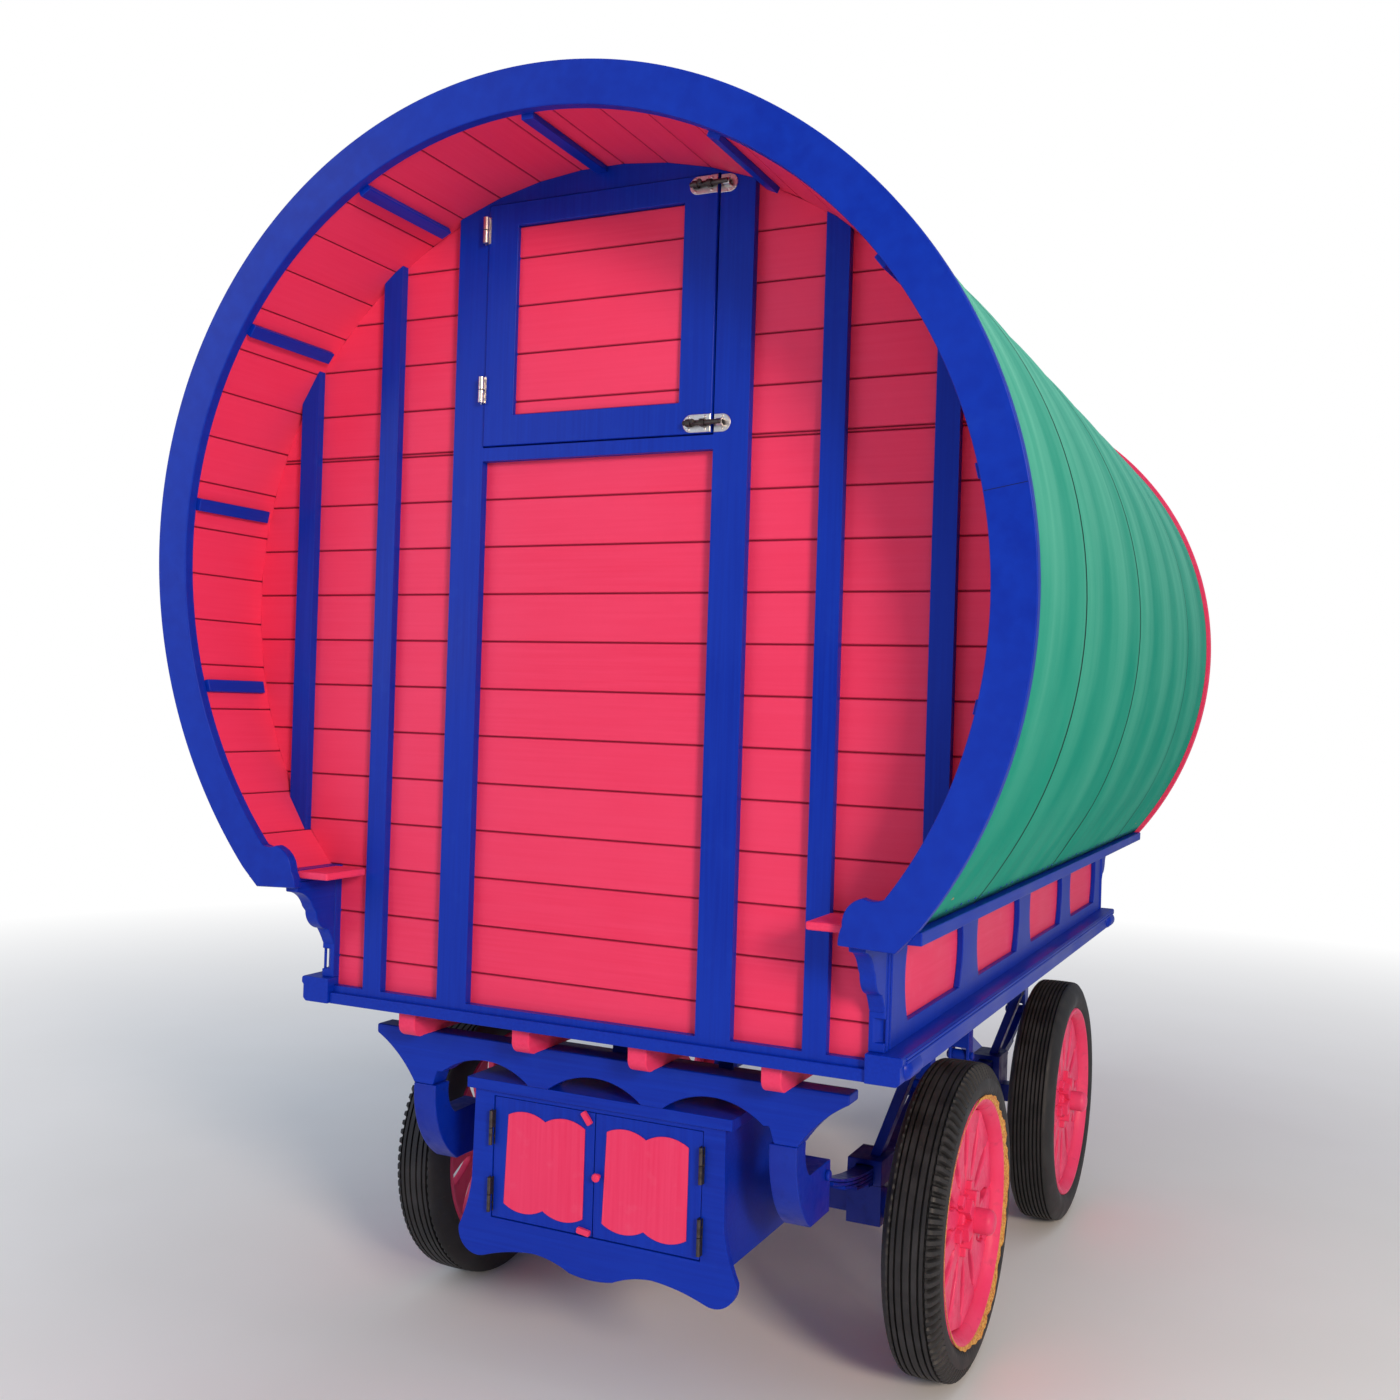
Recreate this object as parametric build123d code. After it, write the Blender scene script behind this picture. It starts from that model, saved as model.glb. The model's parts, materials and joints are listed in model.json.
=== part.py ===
from build123d import *
import os
from math import acos, asin, cos, degrees, pi, radians, sin, sqrt
from typing import NamedTuple

# Bow-top living wagon: a round-roofed timber cabin with raked porch arches on a sprung carriage.
# Millimetres. +X right, +Y towards the drawbar, +Z up, ground at Z 0.
# Inside this source Y 0 is the middle of the cabin. save() moves it to the middle of the length.

os.makedirs("parts", exist_ok=True)

# Fits
FIT = 0.3
PIN_FIT = 0.05
TURN_GAP = 1.0
CUT_OVER = 1.0

# Cabin body
BODY_HALF_Y = 1300.0
LINING_IN_X = 699.0
BOARD_T = 20.0
FRAME_T = 16.0
RECESS = 22.0
CORNER_W = 40.0
CORNER_CHAMFER = 27.0
CHAMFER_STOP_LOW = 20.0
CHAMFER_STOP_HIGH = 12.0
BRACKET_H = 170.0
SILL_Z0 = 894.0
SILL_Z1 = 956.0
SILL_PROUD = 46.0
SILL_BEAD_H = 16.0
SILL_BEAD_PROUD = 5.0
SILL_CHAMFER = 8.0
SILL_TOP_ROUND = 4.0
SILL_END = 20.0
END_SILL_H = 27.0
END_SILL_PROUD = 12.0
END_SILL_IN = 60.0
LEDGE_Z0 = 1208.0
LEDGE_T = 28.0
LEDGE_PROUD = 115.0

BOARD_OUT_X = LINING_IN_X + BOARD_T
WALL_OUT_X = BOARD_OUT_X + FRAME_T
SILL_OUT_X = WALL_OUT_X + SILL_PROUD
LEDGE_Z1 = LEDGE_Z0 + LEDGE_T
LEDGE_OUT_X = WALL_OUT_X + LEDGE_PROUD
BRACKET_LOW_Z = LEDGE_Z0 - BRACKET_H
END_Z0 = SILL_Z0 + END_SILL_H

# Barrel roof, boarded in flats
LINING_R = 990.0
LINING_T = 16.0
HOOP_T = 50.0
COVER_T = 4.0
ROOF_BOARDS = 41
EAVES_PAST = 0.2
BARREL_Z = LEDGE_Z1 + sqrt(LINING_R**2 - WALL_OUT_X**2)
EAVES_ANGLE = degrees(acos((LEDGE_Z1 - BARREL_Z) / LINING_R)) + EAVES_PAST
BOARD_ANGLE = 2 * EAVES_ANGLE / ROOF_BOARDS
HOOP_R = LINING_R + LINING_T
COVER_R = HOOP_R + HOOP_T
PAST = 60.0
ROOF_TOP_Z = BARREL_Z + COVER_R + PAST

# Porch arches, which lean outwards towards the top
ARCH_LAP = 4.0
ARCH_W = 88.0
ARCH_T = 26.0
ARCH_RAKE = 0.105
RAKE_Z = 1240.0
PORCH_DEPTH = 173.0
ARCH_IN_R = LINING_R - ARCH_LAP
ARCH_R = ARCH_IN_R + ARCH_W
ARCH_REACH = ARCH_R + PAST
ARCH_FOOT_Y = BODY_HALF_Y + PORCH_DEPTH
ARCH_TOP_Y = ARCH_FOOT_Y + ARCH_RAKE * (BARREL_Z + ARCH_R - RAKE_Z)
FOOT_RISE = 61.0
FOOT_DROP = 16.0
FOOT_TOP_Z = LEDGE_Z1 + FOOT_RISE
FOOT_LOW_Z = LEDGE_Z0 - FOOT_DROP
FOOT_DIAGONAL = 42.0

# End wall framing
STILE_IN_X = 302.0
STILE_W = 84.0
INNER_POST_X = 580.0
INNER_POST_W = 54.0
OUTER_POST_W = 52.0
OUTER_POST_IN = 161.0
FOOT_RAIL_H = 16.0
HEADER_COVER = 6.0
WINDOW_H = 577.0
MID_RAIL_H = 32.0
OUTER_POST_X = LINING_R - OUTER_POST_IN
HEADER_Z0 = BARREL_Z + sqrt(LINING_R**2 - STILE_IN_X**2) - HEADER_COVER
WINDOW_Z0 = HEADER_Z0 - WINDOW_H

# Leaves in the end walls
LEAF_GAP = 3.0
LEAF_PROUD = 6.0
SHUTTER_T = 34.0
SHUTTER_STILE = 82.0
SHUTTER_TOP_RAIL = 54.0
SHUTTER_LOW_RAIL = 71.0
DOOR_T = 38.0
DOOR_STILE = 84.0
DOOR_RAIL = 92.0
DOOR_SILL_H = 90.0
DOOR_SPLIT_Z = 1900.0
DOOR_SPLIT_GAP = 6.0
PANEL_SET = 12.0
PANEL_BACK = 6.0

# Hinges
PIN_R = 3.5
KNUCKLE_R = 7.5
KNUCKLE_SIDES = 8
HINGE_HALF = 31.0
HINGE_LEAF = 34.0
HINGE_LEAF_T = 3.0
HINGE_OUT = 14.0
HINGE_CLEAR = 1.5
WEB_NEAR = 2.0
WEB_FAR = 5.0
WEB_REACH = 9.0
PIN_SUNK = 1.0

# Wheels and axles
WHEEL_R = 387.0
WHEEL_X = 692.0
REAR_AXLE_BACK = 734.0
FRONT_AXLE_BACK = 596.0
TYRE_W = 146.0
BEAD_IN = 2.0
WALL_SHARE = 0.42
SHOULDER_SHARE = 0.78
SHOULDER_IN = 9.0
TREAD_IN = 28.0
RIM_R = 299.0
RIM_DEPTH = 26.0
RIM_W = 120.0
WHEEL_SIDES = 32
DISC_X = 12.0
DISC_T = 24.0
HUB_R = 32.0
HUB_BASE_R = 62.0
HUB_OUT = 114.0
HUB_IN = 60.0
HUB_SIDES = 16
HUB_NOSE = 14.0
BASE_PROUD = 14.0
DISC_IN_RIM = 4.0
ARM_END_GAP = 2.0
SLITS = 12
SLIT_R0 = 104.0
SLIT_R1 = 246.0
SLIT_W = 34.0
ARM_R = 16.0
ARM_OUT = 88.0
BEAM_SIDE = 56.0
BEAM_FROM_HUB = 6.0
ARM_SUNK = 5.0
REAR_AXLE_Y = -BODY_HALF_Y + REAR_AXLE_BACK
FRONT_AXLE_Y = BODY_HALF_Y - FRONT_AXLE_BACK
BEAM_HALF_X = WHEEL_X - HUB_IN - BEAM_FROM_HUB

# Springs
SPRING_X = 480.0
LEAF_W = 46.0
LEAF_T = 9.0
LEAVES = 5
EYE_R = 18.0
EYE_Z = 585.0
SPRING_LOW_Z = 492.0
REAR_SPRING_HALF = 440.0
FRONT_SPRING_HALF = 400.0
CHEEK_T = 10.0
CLAMP_W = 92.0
CLAMP_HALF_Y = 62.0
CLAMP_TOP_T = 14.0
CLAMP_OVER = 6.0

# Carriage timbers
BEARER_X = (154.0, 480.0)
BEARER_W = 48.0
BEARER_Z0 = 833.0
NOSE_BACK = 12.0
NOSE_ROUND = 40.0
NOSE_RISE = 26.0
NOSE_BEND = (0.25, 0.3)
BOLSTER_HALF = 631.0
BOLSTER_IN_Y = 95.0
BOLSTER_T = 60.0
BOLSTER_LOW_Z = 736.0
SCALLOP_X = 305.0
SCALLOP_HALF = 125.0
SCALLOP_RISE = 44.0
BOLSTER_Y0 = -BODY_HALF_Y + BOLSTER_IN_Y
BOLSTER_Y1 = BOLSTER_Y0 + BOLSTER_T

# Pan box
PAN_IN_Y = 107.0
PAN_DEPTH = 430.0
PAN_HALF = 332.0
PAN_CORNICE_HALF = 356.0
PAN_CORNICE_H = 26.0
PAN_FLOOR_Z = 377.0
PAN_T = 14.0
PAN_FRONT_T = 18.0
PAN_DOOR_X = 282.0
PAN_DOOR_Z0 = 402.0
PAN_DOOR_H = 296.0
PAN_LEAF_T = 14.0
PAN_GAP = 2.0
PAN_Y0 = -BODY_HALF_Y + PAN_IN_Y
PAN_Y1 = PAN_Y0 + PAN_DEPTH
PAN_DOOR_Z1 = PAN_DOOR_Z0 + PAN_DOOR_H

# Turntable and fore-carriage
RING_R = 250.0
RING_W = 55.0
RING_T = 12.0
RING_SIDES = 24
KING_R = 16.0
KING_FROM_TOP = 16.0
KING_BORE_FROM_TOP = 12.0
TURN_Z = 777.0
UPPER_HALF_X = 520.0
CROSS_HALF_X = 585.0
CROSS_H = 48.0
CROSS_PITCH = 160.0
CROSS_W = 50.0
RAIL_Z0 = 672.0
RAIL_H = 60.0
RAIL_W = 52.0
RAIL_HALF_Y = 450.0

# Drawbar
DRAW_BEAM_W = 50.0
DRAW_PIN_OUT = 40.0
DRAW_PIN_Z = 655.0
DRAW_PIN_R = 12.0
LUG_X = 60.0
LUG_T = 14.0
LUG_ROUND = 24.0
LUG_PIN_END = 4.0
LUG_CLEAR = 2.0
BEAM_UNDER_PIN = 20.0
BEAM_CLEAR = 7.0
BEAM_AHEAD = 10.0
BAR_LEN = 1500.0
BAR_W = 56.0
TUBE_WALL = 6.0
TUBE_SIDES = 12
EYE_NECK = 4.0
EYE_LAP = 6.0
EYE_OUT_R = 38.0
EYE_IN_R = 20.0
EYE_T = 32.0
EYE_GROUND_GAP = 6.0
DRAW_BEAM_Y1 = FRONT_AXLE_Y + RAIL_HALF_Y + BEAM_AHEAD
DRAW_PIN_Y = DRAW_BEAM_Y1 + DRAW_PIN_OUT
EYE_DROP = 25.0
EYE_CENTRE_Z = EYE_GROUND_GAP + EYE_DROP
BAR_DROP = asin((DRAW_PIN_Z - EYE_CENTRE_Z) / BAR_LEN)
TIP_Y = DRAW_PIN_Y + (BAR_LEN + EYE_OUT_R) * cos(BAR_DROP) + EYE_T / 2 * sin(BAR_DROP)
ORIGIN_Y = (TIP_Y - ARCH_TOP_Y) / 2


def block(x0, x1, y0, y1, z0, z1):
    """A box given by its six faces."""
    return Pos((x0 + x1) / 2, (y0 + y1) / 2, (z0 + z1) / 2) * Box(abs(x1 - x0), abs(y1 - y0), abs(z1 - z0))


def plate_xz(points, y0, y1):
    """A flat plate drawn in X and Z, from y0 to y1."""
    outline = Wire.make_polygon([Vector(x, y0, z) for x, z in points], close=True)
    return Solid.extrude(Face(outline), Vector(0, y1 - y0, 0))


def plate_yz(points, x0, x1):
    """A flat plate drawn in Y and Z, from x0 to x1."""
    outline = Wire.make_polygon([Vector(x0, y, z) for y, z in points], close=True)
    return Solid.extrude(Face(outline), Vector(x1 - x0, 0, 0))


def plate_xy(points, z0, z1):
    """A flat plate drawn in X and Y, from z0 to z1."""
    outline = Wire.make_polygon([Vector(x, y, z0) for x, y in points], close=True)
    return Solid.extrude(Face(outline), Vector(0, 0, z1 - z0))


def curved_wire(spans, place):
    """A closed outline of two-point lines and three-point arcs, each point put in space by place."""
    edges = []
    for span in spans:
        points = [place(*p) for p in span]
        edges.append(ThreePointArc(*points) if len(points) == 3 else Line(*points))
    return Face(Wire(edges))


def curved_xz(spans, y0, y1):
    """A plate in X and Z whose outline has arcs, from y0 to y1."""
    return Solid.extrude(curved_wire(spans, lambda x, z: Vector(x, y0, z)), Vector(0, y1 - y0, 0))


def curved_yz(spans, x0, x1):
    """A plate in Y and Z whose outline has arcs, from x0 to x1."""
    return Solid.extrude(curved_wire(spans, lambda y, z: Vector(x0, y, z)), Vector(x1 - x0, 0, 0))


def rod_x(radius, x0, x1, y, z):
    """A round bar along X."""
    return Pos((x0 + x1) / 2, y, z) * Rot(0, 90, 0) * Cylinder(radius, abs(x1 - x0))


def rod_z(radius, x, y, z0, z1):
    """A round bar along Z."""
    return Pos(x, y, (z0 + z1) / 2) * Cylinder(radius, abs(z1 - z0))


def polygon(sides, radius, u, v):
    """Corners of a regular polygon about (u, v), with a flat at each side of both axes."""
    turns = [(i + 0.5) * 2 * pi / sides for i in range(sides)]
    return [(u + radius * cos(turn), v + radius * sin(turn)) for turn in turns]


def flatted_x(sides, radius, x0, x1, y, z):
    """A many-sided bar along X."""
    return plate_yz(polygon(sides, radius, y, z), x0, x1)


def flatted_y(sides, radius, x, y0, y1, z):
    """A many-sided bar along Y."""
    return plate_xz(polygon(sides, radius, x, z), y0, y1)


def flatted_z(sides, radius, x, y, z0, z1):
    """A many-sided bar along Z."""
    return plate_xy(polygon(sides, radius, x, y), z0, z1)


def lines(points):
    """The straight spans from each point to the next."""
    return list(zip(points, points[1:]))


def mirrored(spans):
    """The same spans on the other side of the centre, in reverse order."""
    return [tuple((-u, v) for u, v in reversed(span)) for span in reversed(spans)]


def flat_ring(section, sides):
    """A ring about X in flat sides, from a closed section of (x, distance to the flat) points."""
    step = 2 * pi / sides
    stretch = 1 / cos(step / 2)
    faces = []
    for i in range(sides):
        a0 = (i - 0.5) * step
        a1 = (i + 0.5) * step
        for (xa, ra), (xb, rb) in zip(section, section[1:] + section[:1]):
            corners = ((xa, ra, a0), (xb, rb, a0), (xb, rb, a1), (xa, ra, a1))
            points = [Vector(x, r * stretch * cos(a), r * stretch * sin(a)) for x, r, a in corners]
            faces.append(Face(Wire.make_polygon(points, close=True)))
    return Solid(Shell(faces))


def bar_between(a, b, width, depth):
    """A rectangular bar from point a to point b, with its width towards X."""
    start = Vector(*a)
    run = Vector(*b) - start
    along = run.normalized()
    plane = Plane(origin=start, x_dir=Vector(1, 0, 0) - along * along.X, z_dir=along)
    return Solid.extrude((plane * Rectangle(width, depth)).face(), run)


def both_sides(shape):
    """The shape and its mirror image across the centre plane."""
    return [shape, mirror(shape, about=Plane.YZ)]


def both_ends(shapes):
    """The shapes and their mirror images across the middle of the cabin."""
    return [*shapes, *[mirror(s, about=Plane.XZ) for s in shapes]]


def fused(shapes):
    """All the shapes joined to one."""
    shapes = list(shapes)
    out = shapes[0]
    for shape in shapes[1:]:
        out = out + shape
    return out


def save(name, shapes):
    """Write one node, moved so that the origin lies under the middle of the overall length."""
    solids = []
    for shape in (shapes if isinstance(shapes, (list, tuple)) else [shapes]):
        solids.extend((Pos(0, -ORIGIN_Y, 0) * shape).solids())
    out = solids[0] if len(solids) == 1 else Compound(children=solids)
    out.label = name
    export_step(out, f"parts/{name}.step")


def rake_y(z):
    """How far the outer face of an arch stands from the cabin's middle at height z."""
    return ARCH_FOOT_Y + ARCH_RAKE * (z - RAKE_Z)


def between_rakes(inset):
    """All the space between the two raked planes, each moved in by inset."""
    z0 = SILL_Z0
    z1 = ROOF_TOP_Z
    y0 = rake_y(z0) - inset
    y1 = rake_y(z1) - inset
    return plate_yz([(-y0, z0), (y0, z0), (y1, z1), (-y1, z1)], -ARCH_REACH, ARCH_REACH)


BETWEEN_ARCHES = between_rakes(ARCH_T)
ABOVE_LEDGE = block(-ARCH_REACH, ARCH_REACH, -rake_y(ROOF_TOP_Z), rake_y(ROOF_TOP_Z), LEDGE_Z1, ROOF_TOP_Z)


def roof_point(radius, index):
    """A corner between two flats, at the given number of boards up from the left eaves."""
    corner = radius / cos(radians(BOARD_ANGLE / 2))
    angle = radians(index * BOARD_ANGLE - EAVES_ANGLE)
    return (corner * sin(angle), BARREL_Z + corner * cos(angle))


def roof_shell(r_in, r_out, y0, y1):
    """Part of the boarded barrel, with one flat for each lining board."""
    count = range(ROOF_BOARDS + 1)
    outline = [roof_point(r_out, i) for i in count] + [roof_point(r_in, i) for i in reversed(count)]
    return plate_xz(outline, y0, y1) & ABOVE_LEDGE


# Floor, bearers and sills
FLOOR_HALF_Y = BODY_HALF_Y - RECESS - BOARD_T
save("floor", block(-LINING_IN_X, LINING_IN_X, -FLOOR_HALF_Y, FLOOR_HALF_Y, END_Z0, SILL_Z1))


def bearer(x):
    """A floor bearer with a rounded nose under each end sill."""
    nose = BODY_HALF_Y - NOSE_BACK
    inner = BODY_HALF_Y - END_SILL_IN
    bend = (nose - NOSE_ROUND * NOSE_BEND[0], BEARER_Z0 + NOSE_RISE * NOSE_BEND[1])
    right = [
        ((inner, END_Z0), (inner, SILL_Z0)),
        ((inner, SILL_Z0), (nose, SILL_Z0)),
        ((nose, SILL_Z0), (nose, BEARER_Z0 + NOSE_RISE)),
        ((nose, BEARER_Z0 + NOSE_RISE), bend, (nose - NOSE_ROUND, BEARER_Z0)),
    ]
    under = ((nose - NOSE_ROUND, BEARER_Z0), (-nose + NOSE_ROUND, BEARER_Z0))
    over = ((-inner, END_Z0), (inner, END_Z0))
    return curved_yz([over, *right, under, *mirrored(right)], x - BEARER_W / 2, x + BEARER_W / 2)


save("floor_bearers", [bearer(s * x) for x in BEARER_X for s in (-1, 1)])

sill_face = SILL_OUT_X - SILL_BEAD_PROUD
sill_section = [
    (LINING_IN_X, SILL_Z0),
    (sill_face - SILL_CHAMFER, SILL_Z0),
    (sill_face, SILL_Z0 + SILL_CHAMFER),
    (sill_face, SILL_Z1 - SILL_BEAD_H - SILL_BEAD_PROUD),
    (SILL_OUT_X, SILL_Z1 - SILL_BEAD_H),
    (SILL_OUT_X, SILL_Z1 - SILL_TOP_ROUND),
    (SILL_OUT_X - SILL_TOP_ROUND, SILL_Z1),
    (LINING_IN_X, SILL_Z1),
]
SILL_HALF_Y = BODY_HALF_Y + SILL_END
side_sill = plate_xz(sill_section, -SILL_HALF_Y, SILL_HALF_Y)
end_sill = block(
    -LINING_IN_X, LINING_IN_X, BODY_HALF_Y - END_SILL_IN, BODY_HALF_Y + END_SILL_PROUD, SILL_Z0, END_Z0
)
save("sill_mouldings", [*both_sides(side_sill), *both_ends([end_sill])])

# Low side walls: boards, and a panelled frame with waisted stiles
boards_half_y = BODY_HALF_Y - CORNER_W
side_boards = block(LINING_IN_X, BOARD_OUT_X, -boards_half_y, boards_half_y, SILL_Z1, LEDGE_Z0)
save("side_panels", both_sides(side_boards))

PANELS = 4
PANEL_LEN = 426.0
PANEL_MARGIN = 161.5
PANEL_LOW_RAIL = 39.0
PANEL_TOP_RAIL = 18.0
STILE_WAIST = 26.0
PANEL_Z0 = SILL_Z1 + PANEL_LOW_RAIL
PANEL_Z1 = LEDGE_Z0 - PANEL_TOP_RAIL
PANEL_PITCH = (2 * BODY_HALF_Y - 2 * PANEL_MARGIN - PANEL_LEN) / (PANELS - 1)


def side_frame():
    """The frame of one side wall, with its corner posts."""
    frame = block(BOARD_OUT_X, WALL_OUT_X, -BODY_HALF_Y, BODY_HALF_Y, SILL_Z1, LEDGE_Z0)
    mid_z = (PANEL_Z0 + PANEL_Z1) / 2
    for i in range(PANELS):
        y0 = -BODY_HALF_Y + PANEL_MARGIN + i * PANEL_PITCH
        y1 = y0 + PANEL_LEN
        spans = [
            ((y0, PANEL_Z0), (y1, PANEL_Z0)),
            ((y1, PANEL_Z0), (y1 + STILE_WAIST, mid_z), (y1, PANEL_Z1)),
            ((y1, PANEL_Z1), (y0, PANEL_Z1)),
            ((y0, PANEL_Z1), (y0 - STILE_WAIST, mid_z), (y0, PANEL_Z0)),
        ]
        frame = frame - curved_yz(spans, BOARD_OUT_X - CUT_OVER, WALL_OUT_X + CUT_OVER)
    for e in (-1, 1):
        inner = BODY_HALF_Y - CORNER_W + FIT
        frame = frame + block(LINING_IN_X, BOARD_OUT_X, e * inner, e * BODY_HALF_Y, SILL_Z1, LEDGE_Z0)
        over_x = WALL_OUT_X + CUT_OVER
        over_y = BODY_HALF_Y + CUT_OVER
        wedge = [
            (over_x - CORNER_CHAMFER, e * over_y),
            (over_x, e * over_y),
            (over_x, e * (over_y - CORNER_CHAMFER)),
        ]
        frame = frame - plate_xy(wedge, SILL_Z1 + CHAMFER_STOP_LOW, BRACKET_LOW_Z - CHAMFER_STOP_HIGH)
    return frame


save("side_frames", both_sides(side_frame()))

# Ledges, with ogee brackets under their ends
BRACKET_BACK = 2.0
ledge_reach = rake_y(LEDGE_Z1)
ledge = block(LINING_IN_X, LEDGE_OUT_X, -ledge_reach, ledge_reach, LEDGE_Z0, LEDGE_Z1) & BETWEEN_ARCHES


# Corners and bulges of the bracket's edge: share of its reach, and share of its height from the top
BRACKET_CURVE = (
    ((1.00, 0.15), (0.72, 0.24), (0.58, 0.40)),
    ((0.50, 0.47), (0.40, 0.66), (0.18, 0.75)),
    ((0.18, 0.75), (0.08, 0.87), (0.00, 1.00)),
)


def ledge_bracket():
    """A bracket of two ogee steps on the corner post, under the front end of a ledge."""
    y0 = BODY_HALF_Y
    reach = rake_y(LEDGE_Z0) - ARCH_T - BRACKET_BACK - y0
    curves = [tuple((y0 + u * reach, LEDGE_Z0 - v * BRACKET_H) for u, v in span) for span in BRACKET_CURVE]
    upper, lower, tail = curves
    spans = [
        ((y0, LEDGE_Z0), (y0 + reach, LEDGE_Z0)),
        ((y0 + reach, LEDGE_Z0), upper[0]),
        upper,
        (upper[-1], lower[0]),
        lower,
        tail,
        (tail[-1], (y0, LEDGE_Z0)),
    ]
    return curved_yz(spans, LINING_IN_X, WALL_OUT_X)


save("ledges", [*both_sides(ledge), *both_ends(both_sides(ledge_bracket()))])

# Porch shelves between the arch feet and the end walls
SHELF_T = 18.0
shelf_in_x = INNER_POST_X + INNER_POST_W / 2
shelf = block(shelf_in_x, LINING_IN_X, BODY_HALF_Y + FIT, ledge_reach, LEDGE_Z1 - SHELF_T, LEDGE_Z1)
save("porch_shelves", both_ends(both_sides(shelf & BETWEEN_ARCHES)))


# End walls
def end_wall(y0, y1):
    """The outline of an end wall: the barrel above the ledge and the narrower part below it."""
    outline = [roof_point(LINING_R - FIT, i) for i in range(ROOF_BOARDS + 1)]
    upper = plate_xz(outline, y0, y1) & ABOVE_LEDGE
    lower = block(-LINING_IN_X, LINING_IN_X, y0, y1, END_Z0, LEDGE_Z1)
    return upper + lower


def upright(x0, x1, y0, y1, z0):
    """A post from z0 up past the roof, to be cut to the wall's outline."""
    return block(x0, x1, y0, y1, z0, ROOF_TOP_Z)


DOOR_Z0 = END_Z0 + DOOR_SILL_H


def end_framing(y0, y1, doorway):
    """Uprights and rails that stand proud of an end wall."""
    bars = [block(-STILE_IN_X, STILE_IN_X, y0, y1, HEADER_Z0, ROOF_TOP_Z)]
    for s in (-1, 1):
        bars.append(upright(s * STILE_IN_X, s * (STILE_IN_X + STILE_W), y0, y1, END_Z0))
        half = INNER_POST_W / 2
        bars.append(upright(s * (INNER_POST_X - half), s * (INNER_POST_X + half), y0, y1, END_Z0))
        half = OUTER_POST_W / 2
        bars.append(upright(s * (OUTER_POST_X - half), s * (OUTER_POST_X + half), y0, y1, LEDGE_Z1))
        bars.append(block(s * STILE_IN_X, s * LINING_IN_X, y0, y1, END_Z0, END_Z0 + FOOT_RAIL_H))
    if doorway:
        bars.append(block(-STILE_IN_X, STILE_IN_X, y0, y1, END_Z0, DOOR_Z0))
    else:
        bars.append(block(-STILE_IN_X, STILE_IN_X, y0, y1, END_Z0, END_Z0 + FOOT_RAIL_H))
        bars.append(block(-STILE_IN_X, STILE_IN_X, y0, y1, WINDOW_Z0 - MID_RAIL_H, WINDOW_Z0))
    return fused(bars) & end_wall(y0, y1)


def wall_boards(y0, y1, hole_z0):
    """The boards of an end wall, with the hole of its shutter or doors."""
    hole = block(-STILE_IN_X, STILE_IN_X, y0 - CUT_OVER, y1 + CUT_OVER, hole_z0, HEADER_Z0)
    return end_wall(y0, y1) - hole


boards_in_y = BODY_HALF_Y - RECESS - BOARD_T
boards_out_y = BODY_HALF_Y - RECESS
save("rear_wall_boards", wall_boards(-boards_out_y, -boards_in_y, WINDOW_Z0))
save("rear_wall_frame", end_framing(-BODY_HALF_Y, -boards_out_y, False))
save("front_wall_boards", wall_boards(boards_in_y, boards_out_y, DOOR_Z0))
save("front_wall_frame", end_framing(boards_out_y, BODY_HALF_Y, True))


# Hinges
def pin_or_bore(turns_leaf, radius, x, y, z0, z1):
    """A pin or a bore: round in the hinge that guides the leaf, and flatted in its companions."""
    if turns_leaf:
        return rod_z(radius, x, y, z0, z1)
    return flatted_z(KNUCKLE_SIDES, radius, x, y, z0, z1)


def hinge(x, z, face_y, leaf_y, out, side, turns_leaf):
    """A lift-off hinge on a vertical pin: the fixed half with the pin, and the moving half.

    The pin stands HINGE_OUT in front of face_y. The fixed leaf lies on face_y and the moving one on
    leaf_y. out is the way both look along Y, and side the way the moving leaf lies along X.
    """
    y = face_y + out * HINGE_OUT
    low = z - HINGE_HALF
    high = z + HINGE_HALF
    fixed = flatted_z(KNUCKLE_SIDES, KNUCKLE_R, x, y, low, z - FIT)
    fixed = fixed + pin_or_bore(turns_leaf, PIN_R, x, y, z - FIT - PIN_SUNK, high)
    fixed = fixed + block(x - side * WEB_FAR, x - side * WEB_NEAR, face_y, y, low, z - FIT)
    fixed = fixed + block(
        x - side * WEB_NEAR, x - side * HINGE_LEAF, face_y, face_y + out * HINGE_LEAF_T, low, high
    )
    moving = flatted_z(KNUCKLE_SIDES, KNUCKLE_R, x, y, z, high)
    moving = moving + block(x + side * WEB_FAR, x + side * WEB_REACH, leaf_y, y, z, high)
    clear_x = x + side * (KNUCKLE_R + HINGE_CLEAR)
    moving = moving + block(clear_x, x + side * HINGE_LEAF, leaf_y, leaf_y + out * HINGE_LEAF_T, low, high)
    bore_r = (PIN_R + PIN_FIT) / (1 if turns_leaf else cos(pi / KNUCKLE_SIDES))
    moving = moving - pin_or_bore(turns_leaf, bore_r, x, y, z - CUT_OVER, high + CUT_OVER)
    return fixed, moving


def leaf_frame(x0, x1, z0, z1, y0, y1, stile, low_rail, top_rail):
    """A rectangular frame of stiles and rails."""
    inner = block(x0 + stile, x1 - stile, y0 - CUT_OVER, y1 + CUT_OVER, z0 + low_rail, z1 - top_rail)
    return block(x0, x1, y0, y1, z0, z1) - inner


hinge_plates = []
leaf_half = STILE_IN_X - LEAF_GAP

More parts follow.
